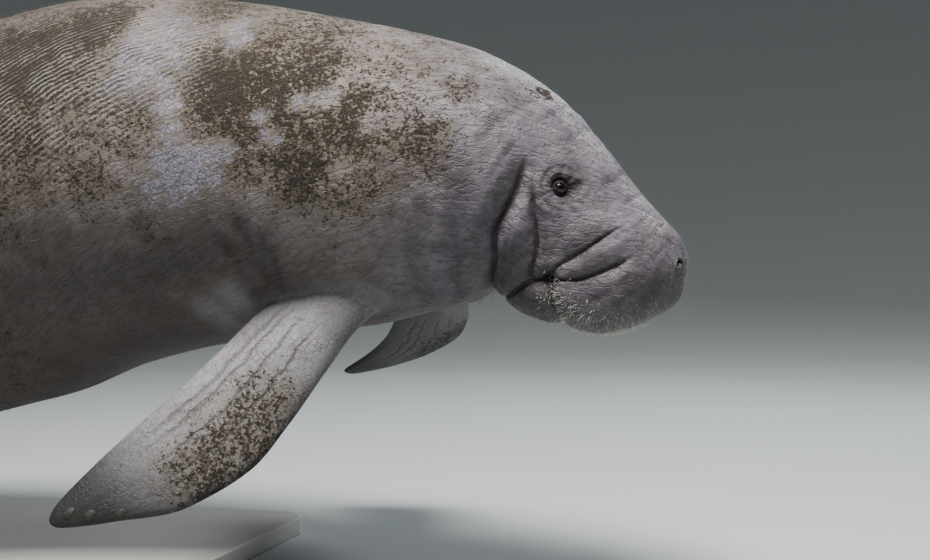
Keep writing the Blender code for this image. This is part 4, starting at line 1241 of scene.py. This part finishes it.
def ball_mesh(centre, axes, radii, rings, points):
    """A closed ball with its pole along the first axis."""
    bm = bmesh.new()
    loops = []
    for i in range(1, rings):
        turn = math.pi * i / rings
        ring = []
        for k in range(points):
            side = 2.0 * math.pi * k / points
            offset = (axes[0] * radii[0] * math.cos(turn)
                      + (axes[1] * radii[1] * math.cos(side) + axes[2] * radii[2] * math.sin(side))
                      * math.sin(turn))
            ring.append(bm.verts.new(centre + offset))
        loops.append(ring)
    first, last = bm.verts.new(centre + axes[0] * radii[0]), bm.verts.new(centre - axes[0] * radii[0])
    for k in range(points):
        m = (k + 1) % points
        bm.faces.new((first, loops[0][k], loops[0][m]))
        bm.faces.new((last, loops[-1][m], loops[-1][k]))
        for upper, lower in zip(loops[:-1], loops[1:]):
            bm.faces.new((upper[k], lower[k], lower[m], upper[m]))
    bmesh.ops.recalc_face_normals(bm, faces=bm.faces[:])
    return bm


def add_eyes():
    material = eye_finish()
    for name, side in (("right", 1.0), ("left", -1.0)):
        point, outward, forward, upward = surface_frame(EYE_BACK, side * EYE_ANGLE)
        centre = point - outward * EYE_DEPTH
        look = (outward + forward * 0.10).normalized()
        first = (forward - look * forward.dot(look)).normalized()
        bm = ball_mesh(centre, (look, first, look.cross(first)), (EYE_RADIUS,) * 3, 40, 48)
        eye = add_mesh_object("eye_ball_" + name, bm, material)
        points = mesh_points(eye.data) - np.array(centre)
        tilt = np.arccos(np.clip(points @ np.array(look) / EYE_RADIUS, -1.0, 1.0))
        store(eye.data, "ring", np.sin(np.minimum(tilt, math.pi / 2)) * EYE_RADIUS / 0.0062)
        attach(eye, "root")
        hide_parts("eye_" + name)


NAILS = ((0.955, 0.05), (0.925, 0.50), (0.875, 0.72))
NAIL_SIZE = (0.0045, 0.0100, 0.0065)
NAIL_SINK = 0.0021


def add_nails():
    material = nail_finish()
    for name, limb, outside in LIMBS:
        for number, (share, across) in enumerate(NAILS, 1):
            point, way, lead, facing = flipper_frame(limb, share)
            outward = facing if facing.y * outside > 0.0 else -facing
            trail, front = flipper_size(1, share), flipper_size(2, share)
            reach = (front - trail) / 2.0 + (front + trail) / 2.0 * across
            lift = flipper_size(3, share) * math.sqrt(1.0 - across ** 2) - NAIL_SINK
            centre = point + lead * reach + outward * lift
            bm = ball_mesh(centre, (outward, way, lead), NAIL_SIZE, 18, 28)
            nail = add_mesh_object("nail_%s_%d_horn" % (name, number), bm, material)
            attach(nail, "root")
            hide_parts("nail_%s_%d" % (name, number))


# Hair: for each kind the value that says where it grows, the slot, the length, the root's radius,
# how far the tip bends back, the least distance between roots, how far it leans toward the tail,
# how much its way varies, and its colour and roughness
HAIRS = (
    ("body_hair", "hairy", "skin", 0.0120, 0.00017, 0.0030, 0.0240, 0.85, 0.40, (0.300, 0.270, 0.235), 0.50),
    ("face_hair", "whiskered", "lip_skin", 0.0058, 0.00016, 0.0010, 0.0075, 0.25, 0.30, (0.380, 0.350, 0.320), 0.50),
    ("bristles", "bristly", "lip_skin", 0.0070, 0.00042, 0.0016, 0.0024, 0.10, 0.35, (0.720, 0.700, 0.660), 0.42),
    ("throat_hair", "throat", "skin", 0.0150, 0.00018, 0.0030, 0.0070, 0.10, 0.30, (0.035, 0.028, 0.024), 0.50),
)
HAIR_SIZES = (0.65, 1.25)     # smallest and largest share of the length
HAIR_SIDES = 3
HAIR_STEPS = 4
HAIR_SUNK = 0.0008            # how far the root goes into the skin
PATCH_SIZE = 0.003            # each hair's patch on the unwrapped skin


def one_hair(length, radius, bend):
    """A closed, tapered, bent hair standing on the origin, with a flat place for each point."""
    bm = bmesh.new()
    loops, patch = [], []
    for step in range(HAIR_STEPS):
        share = step / HAIR_STEPS
        height = share * length if step else -HAIR_SUNK
        ring = []
        for side in range(HAIR_SIDES):
            turn = 2.0 * math.pi * side / HAIR_SIDES
            thick = radius * (1.0 - 0.75 * share)
            ring.append(bm.verts.new((thick * math.cos(turn) + bend * share ** 2, thick * math.sin(turn), height)))
            patch.append((side / HAIR_SIDES, share, 0.0))
        loops.append(ring)
    tip = bm.verts.new((bend, 0.0, length))
    patch.append((0.5, 1.0, 0.0))
    bm.faces.new(loops[0][::-1])
    for side in range(HAIR_SIDES):
        after = (side + 1) % HAIR_SIDES
        bm.faces.new((loops[-1][side], loops[-1][after], tip))
        for lower, upper in zip(loops[:-1], loops[1:]):
            bm.faces.new((lower[side], lower[after], upper[after], upper[side]))
    bmesh.ops.recalc_face_normals(bm, faces=bm.faces[:])
    hair = add_mesh_object("one_hair", bm)
    store(hair.data, "patch", np.array(patch))
    return hair


def growth_tree():
    """Plants hairs on the skin, leaning with its flow, each with its patch on the unwrapped skin."""
    tree = bpy.data.node_groups.new("growth", "GeometryNodeTree")
    inputs = {}
    for name, kind in (("Skin", "Geometry"), ("Hair", "Object"), ("Finish", "Material"), ("Where", "String"),
                       ("Spacing", "Float"), ("Lean", "Float"), ("Spread", "Float"), ("Seed", "Int")):
        made = tree.interface.new_socket(name=name, in_out="INPUT", socket_type="NodeSocket" + kind)
        inputs[name] = made.identifier
    tree.interface.new_socket(name="Hairs", in_out="OUTPUT", socket_type="NodeSocketGeometry")
    graph = Graph(tree)
    entry = tree.nodes.new("NodeGroupInput")
    given = {name: Wire(graph, entry.outputs[name]) for name in inputs}

    def named(name, kind):
        return graph.node("GeometryNodeInputNamedAttribute", {"data_type": kind}, {"Name": name})

    density = named(given["Where"], "FLOAT")
    points = graph.node("GeometryNodeDistributePointsOnFaces", {"distribute_method": "POISSON"},
                        {"Mesh": given["Skin"], "Distance Min": given["Spacing"],
                         "Density Max": 1.6 / (given["Spacing"] * given["Spacing"]),
                         "Density Factor": density, "Seed": given["Seed"]})
    normal = Wire(graph, points.socket.node.outputs["Normal"])
    flow = named("flow", "FLOAT_VECTOR")
    chance = graph.node("FunctionNodeRandomValue", {"data_type": "FLOAT_VECTOR"},
                        {"Min": (-1.0, -1.0, -1.0), "Max": (1.0, 1.0, 1.0), "Seed": given["Seed"]})
    way = graph.vector("ADD", normal, graph.vector("MULTIPLY", flow, given["Lean"]))
    way = graph.vector("ADD", way, graph.vector("MULTIPLY", chance, given["Spread"]))
    upright = graph.node("FunctionNodeAlignRotationToVector", {"axis": "Z"}, {"Vector": way})
    facing = graph.node("FunctionNodeAlignRotationToVector", {"axis": "X", "pivot_axis": "Z"},
                        {"Rotation": upright, "Vector": flow})
    size = graph.node("FunctionNodeRandomValue", {"data_type": "FLOAT"},
                      {2: HAIR_SIZES[0], 3: HAIR_SIZES[1], "Seed": given["Seed"]}, 1)
    rooted = graph.node("GeometryNodeStoreNamedAttribute", {"data_type": "FLOAT_VECTOR", "domain": "POINT"},
                        {"Geometry": points, "Name": "root", "Value": named("unwrap", "FLOAT_VECTOR")})
    shape = graph.node("GeometryNodeObjectInfo", None, {"Object": given["Hair"]}, "Geometry")
    planted = graph.node("GeometryNodeInstanceOnPoints", None,
                         {"Points": rooted, "Instance": shape, "Rotation": facing, "Scale": size})
    real = graph.node("GeometryNodeRealizeInstances", None, {"Geometry": planted})
    spot = graph.vector("MULTIPLY", named("patch", "FLOAT_VECTOR"), (PATCH_SIZE,) * 3)
    spot = graph.vector("ADD", named("root", "FLOAT_VECTOR"), spot)
    mapped = graph.node("GeometryNodeStoreNamedAttribute", {"data_type": "FLOAT2", "domain": "CORNER"},
                        {"Geometry": real, "Name": "OFBake", "Value": spot})
    finished = graph.node("GeometryNodeSetMaterial", None, {"Geometry": mapped, "Material": given["Finish"]})
    end = tree.nodes.new("NodeGroupOutput")
    tree.links.new(finished.socket, end.inputs["Hairs"])
    return tree, inputs


def add_hair(skin):
    """Grows each kind of hair from the skin as a plain mesh of its own."""
    tree, inputs = growth_tree()
    for seed, (name, where, slot, length, radius, bend, spacing, lean, spread, colour, rough) in enumerate(HAIRS, 1):
        hair = one_hair(length, radius, bend)
        modifier = skin.item.modifiers.new("growth", "NODES")
        modifier.node_group = tree
        for key, value in (("Hair", hair), ("Finish", plain_finish(name, colour, rough)), ("Where", where),
                           ("Spacing", spacing), ("Lean", lean), ("Spread", spread), ("Seed", seed)):
            modifier[inputs[key]] = value
        graph = bpy.context.evaluated_depsgraph_get()
        mesh = bpy.data.meshes.new_from_object(skin.item.evaluated_get(graph))
        skin.item.modifiers.remove(modifier)
        bpy.data.objects.remove(hair)
        for layer in [layer.name for layer in mesh.attributes if layer.data_type in ("FLOAT", "FLOAT_VECTOR")]:
            if layer != "position":
                mesh.attributes.remove(mesh.attributes[layer])
        mesh.shade_smooth()
        item = bpy.data.objects.new(name, mesh)
        bpy.context.scene.collection.objects.link(item)
        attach(item, "root")
    bpy.data.node_groups.remove(tree)


# Display stand
BASE_SIZE = (1.20, 0.70, 0.030)
BASE_CORNER = 0.06
BASE_EDGE = 0.003
ROD_RADIUS = 0.0175
ROD_PLACES = (("front", 0.13), ("rear", -0.55))
COLLAR_RADIUS = 0.045
COLLAR_HEIGHT = 0.014
COLLAR_SLOPE = 0.004
PART_GAP = 0.0003


def base_outline(inset, steps=24):
    outline = []
    for x_side, y_side, start in ((1, 1, 0.0), (-1, 1, 90.0), (-1, -1, 180.0), (1, -1, 270.0)):
        for i in range(steps + 1):
            turn = math.radians(start + 90.0 * i / steps)
            radius = BASE_CORNER - inset
            outline.append((x_side * (BASE_SIZE[0] / 2 - BASE_CORNER) + radius * math.cos(turn),
                            y_side * (BASE_SIZE[1] / 2 - BASE_CORNER) + radius * math.sin(turn)))
    return outline


def stacked(bm, profile):
    """Closed loops of points, joined from one to the next and capped at both ends."""
    loops = [[bm.verts.new(point) for point in loop] for loop in profile]
    count = len(loops[0])
    for lower, upper in zip(loops[:-1], loops[1:]):
        for k in range(count):
            m = (k + 1) % count
            bm.faces.new((lower[k], lower[m], upper[m], upper[k]))
    bm.faces.new(loops[0][::-1])
    bm.faces.new(loops[-1])
    bmesh.ops.recalc_face_normals(bm, faces=bm.faces[:])


def shade_edges(item, degrees=32.0):
    """Smooth over curves and sharp at edges."""
    mesh = item.data
    mesh.set_sharp_from_angle(angle=math.radians(degrees))


def add_base():
    bm = bmesh.new()
    profile = []
    for i in range(5):
        turn = math.radians(90.0 * i / 4)
        inset, rise = BASE_EDGE * (1.0 - math.sin(turn)), BASE_EDGE * (1.0 - math.cos(turn))
        profile.append([(x, y, rise) for x, y in base_outline(inset)])
    for i in range(5):
        turn = math.radians(90.0 * i / 4)
        inset, rise = BASE_EDGE * (1.0 - math.cos(turn)), BASE_EDGE * (1.0 - math.sin(turn))
        profile.append([(x, y, BASE_SIZE[2] - rise) for x, y in base_outline(inset)])
    stacked(bm, profile)
    base = add_mesh_object("stand_board", bm, board_finish())
    shade_edges(base)
    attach(base, "root")
    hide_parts("stand_base")


def add_rods():
    steel = steel_finish()
    sides = 64
    foot = BASE_SIZE[2] + PART_GAP
    for name, x in ROD_PLACES:
        top = belly_height(x) + 0.030
        profile = ((COLLAR_RADIUS - 0.0008, foot), (COLLAR_RADIUS, foot + 0.0008),
                   (COLLAR_RADIUS, foot + COLLAR_HEIGHT - 0.0015),
                   (COLLAR_RADIUS - 0.0015, foot + COLLAR_HEIGHT),
                   (ROD_RADIUS + 0.0030, foot + COLLAR_HEIGHT + COLLAR_SLOPE - 0.0020),
                   (ROD_RADIUS, foot + COLLAR_HEIGHT + COLLAR_SLOPE), (ROD_RADIUS, top))
        bm = bmesh.new()
        stacked(bm, [[(x + radius * math.cos(2.0 * math.pi * k / sides),
                       radius * math.sin(2.0 * math.pi * k / sides), z) for k in range(sides)]
                     for radius, z in profile])
        for k in range(4):
            turn = math.radians(45.0 + 90.0 * k)
            spot = Vector((x + 0.032 * math.cos(turn), 0.032 * math.sin(turn), foot + COLLAR_HEIGHT))
            screw = ball_mesh(spot, (Vector((0, 0, 1)), Vector((1, 0, 0)), Vector((0, 1, 0))),
                              (0.0018, 0.0042, 0.0042), 8, 20)
            part = bpy.data.meshes.new("screw")
            screw.to_mesh(part)
            screw.free()
            bm.from_mesh(part)
            bpy.data.meshes.remove(part)
        rod = add_mesh_object("stand_steel_" + name, bm, steel)
        shade_edges(rod)
        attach(rod, "root")
        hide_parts("stand_rod_" + name)


def belly_height(x):
    """World height of the belly's middle line over a place on the floor."""
    back = np.linspace(0.6, 2.2, 801)
    points = body_surface(back, np.full(len(back), math.pi))[0]
    order = np.argsort(points[:, 0])
    return float(np.interp(x, points[order, 0], points[order, 2]))


# Studio: a pale floor that curves up into a pale wall all round, and soft lamps
FLOOR_REACH = 4.5
FLOOR_CURVE = 8.5
WALL_HEIGHT = 11.0


def add_stage():
    profile = [(0.0, 0.0)]
    profile += [(FLOOR_REACH * share, 0.0) for share in (0.25, 0.5, 0.75, 1.0)]
    for i in range(1, 17):
        turn = math.radians(90.0 * i / 16)
        profile.append((FLOOR_REACH + FLOOR_CURVE * math.sin(turn), FLOOR_CURVE * (1.0 - math.cos(turn))))
    profile.append((FLOOR_REACH + FLOOR_CURVE, WALL_HEIGHT))
    bm = bmesh.new()
    sides = 96
    middle = bm.verts.new((0.0, 0.0, 0.0))
    loops = [[bm.verts.new((radius * math.cos(2.0 * math.pi * k / sides),
                            radius * math.sin(2.0 * math.pi * k / sides), z)) for k in range(sides)]
             for radius, z in profile[1:]]
    for k in range(sides):
        m = (k + 1) % sides
        bm.faces.new((middle, loops[0][k], loops[0][m]))
        for inner, outer in zip(loops[:-1], loops[1:]):
            bm.faces.new((inner[k], outer[k], outer[m], inner[m]))
    stage = add_mesh_object("stage_floor", bm, plain_finish("stage", (0.46, 0.48, 0.48), 0.85))


def add_lamp(name, place, target, size, power, colour):
    data = bpy.data.lights.new(name, "AREA")
    data.shape = "RECTANGLE"
    data.size, data.size_y = size
    data.energy = power
    data.color = colour
    lamp = bpy.data.objects.new(name, data)
    lamp.location = place
    lamp.rotation_euler = (Vector(target) - Vector(place)).to_track_quat("-Z", "Y").to_euler()
    bpy.context.scene.collection.objects.link(lamp)


def light_studio():
    world = bpy.data.worlds.new("studio")
    world.use_nodes = True
    backdrop = world.node_tree.nodes["Background"]
    backdrop.inputs["Color"].default_value = (0.86, 0.93, 1.0, 1.0)
    backdrop.inputs["Strength"].default_value = 0.17
    bpy.context.scene.world = world
    add_lamp("key", (1.2, -1.6, 4.2), (0.75, -0.1, 0.5), (2.2, 1.6), 320.0, (1.0, 0.98, 0.95))
    add_lamp("rim", (2.2, 3.4, 3.6), (0.6, 0.0, 0.6), (2.5, 1.2), 110.0, (0.92, 0.97, 1.0))
    view = bpy.context.scene.view_settings
    view.view_transform = "AgX"
    view.look = "AgX - Medium High Contrast"


add_camera()
SKIN = add_skin()
add_hair(SKIN)
add_eyes()
add_nails()
add_base()
add_rods()
add_stage()
light_studio()
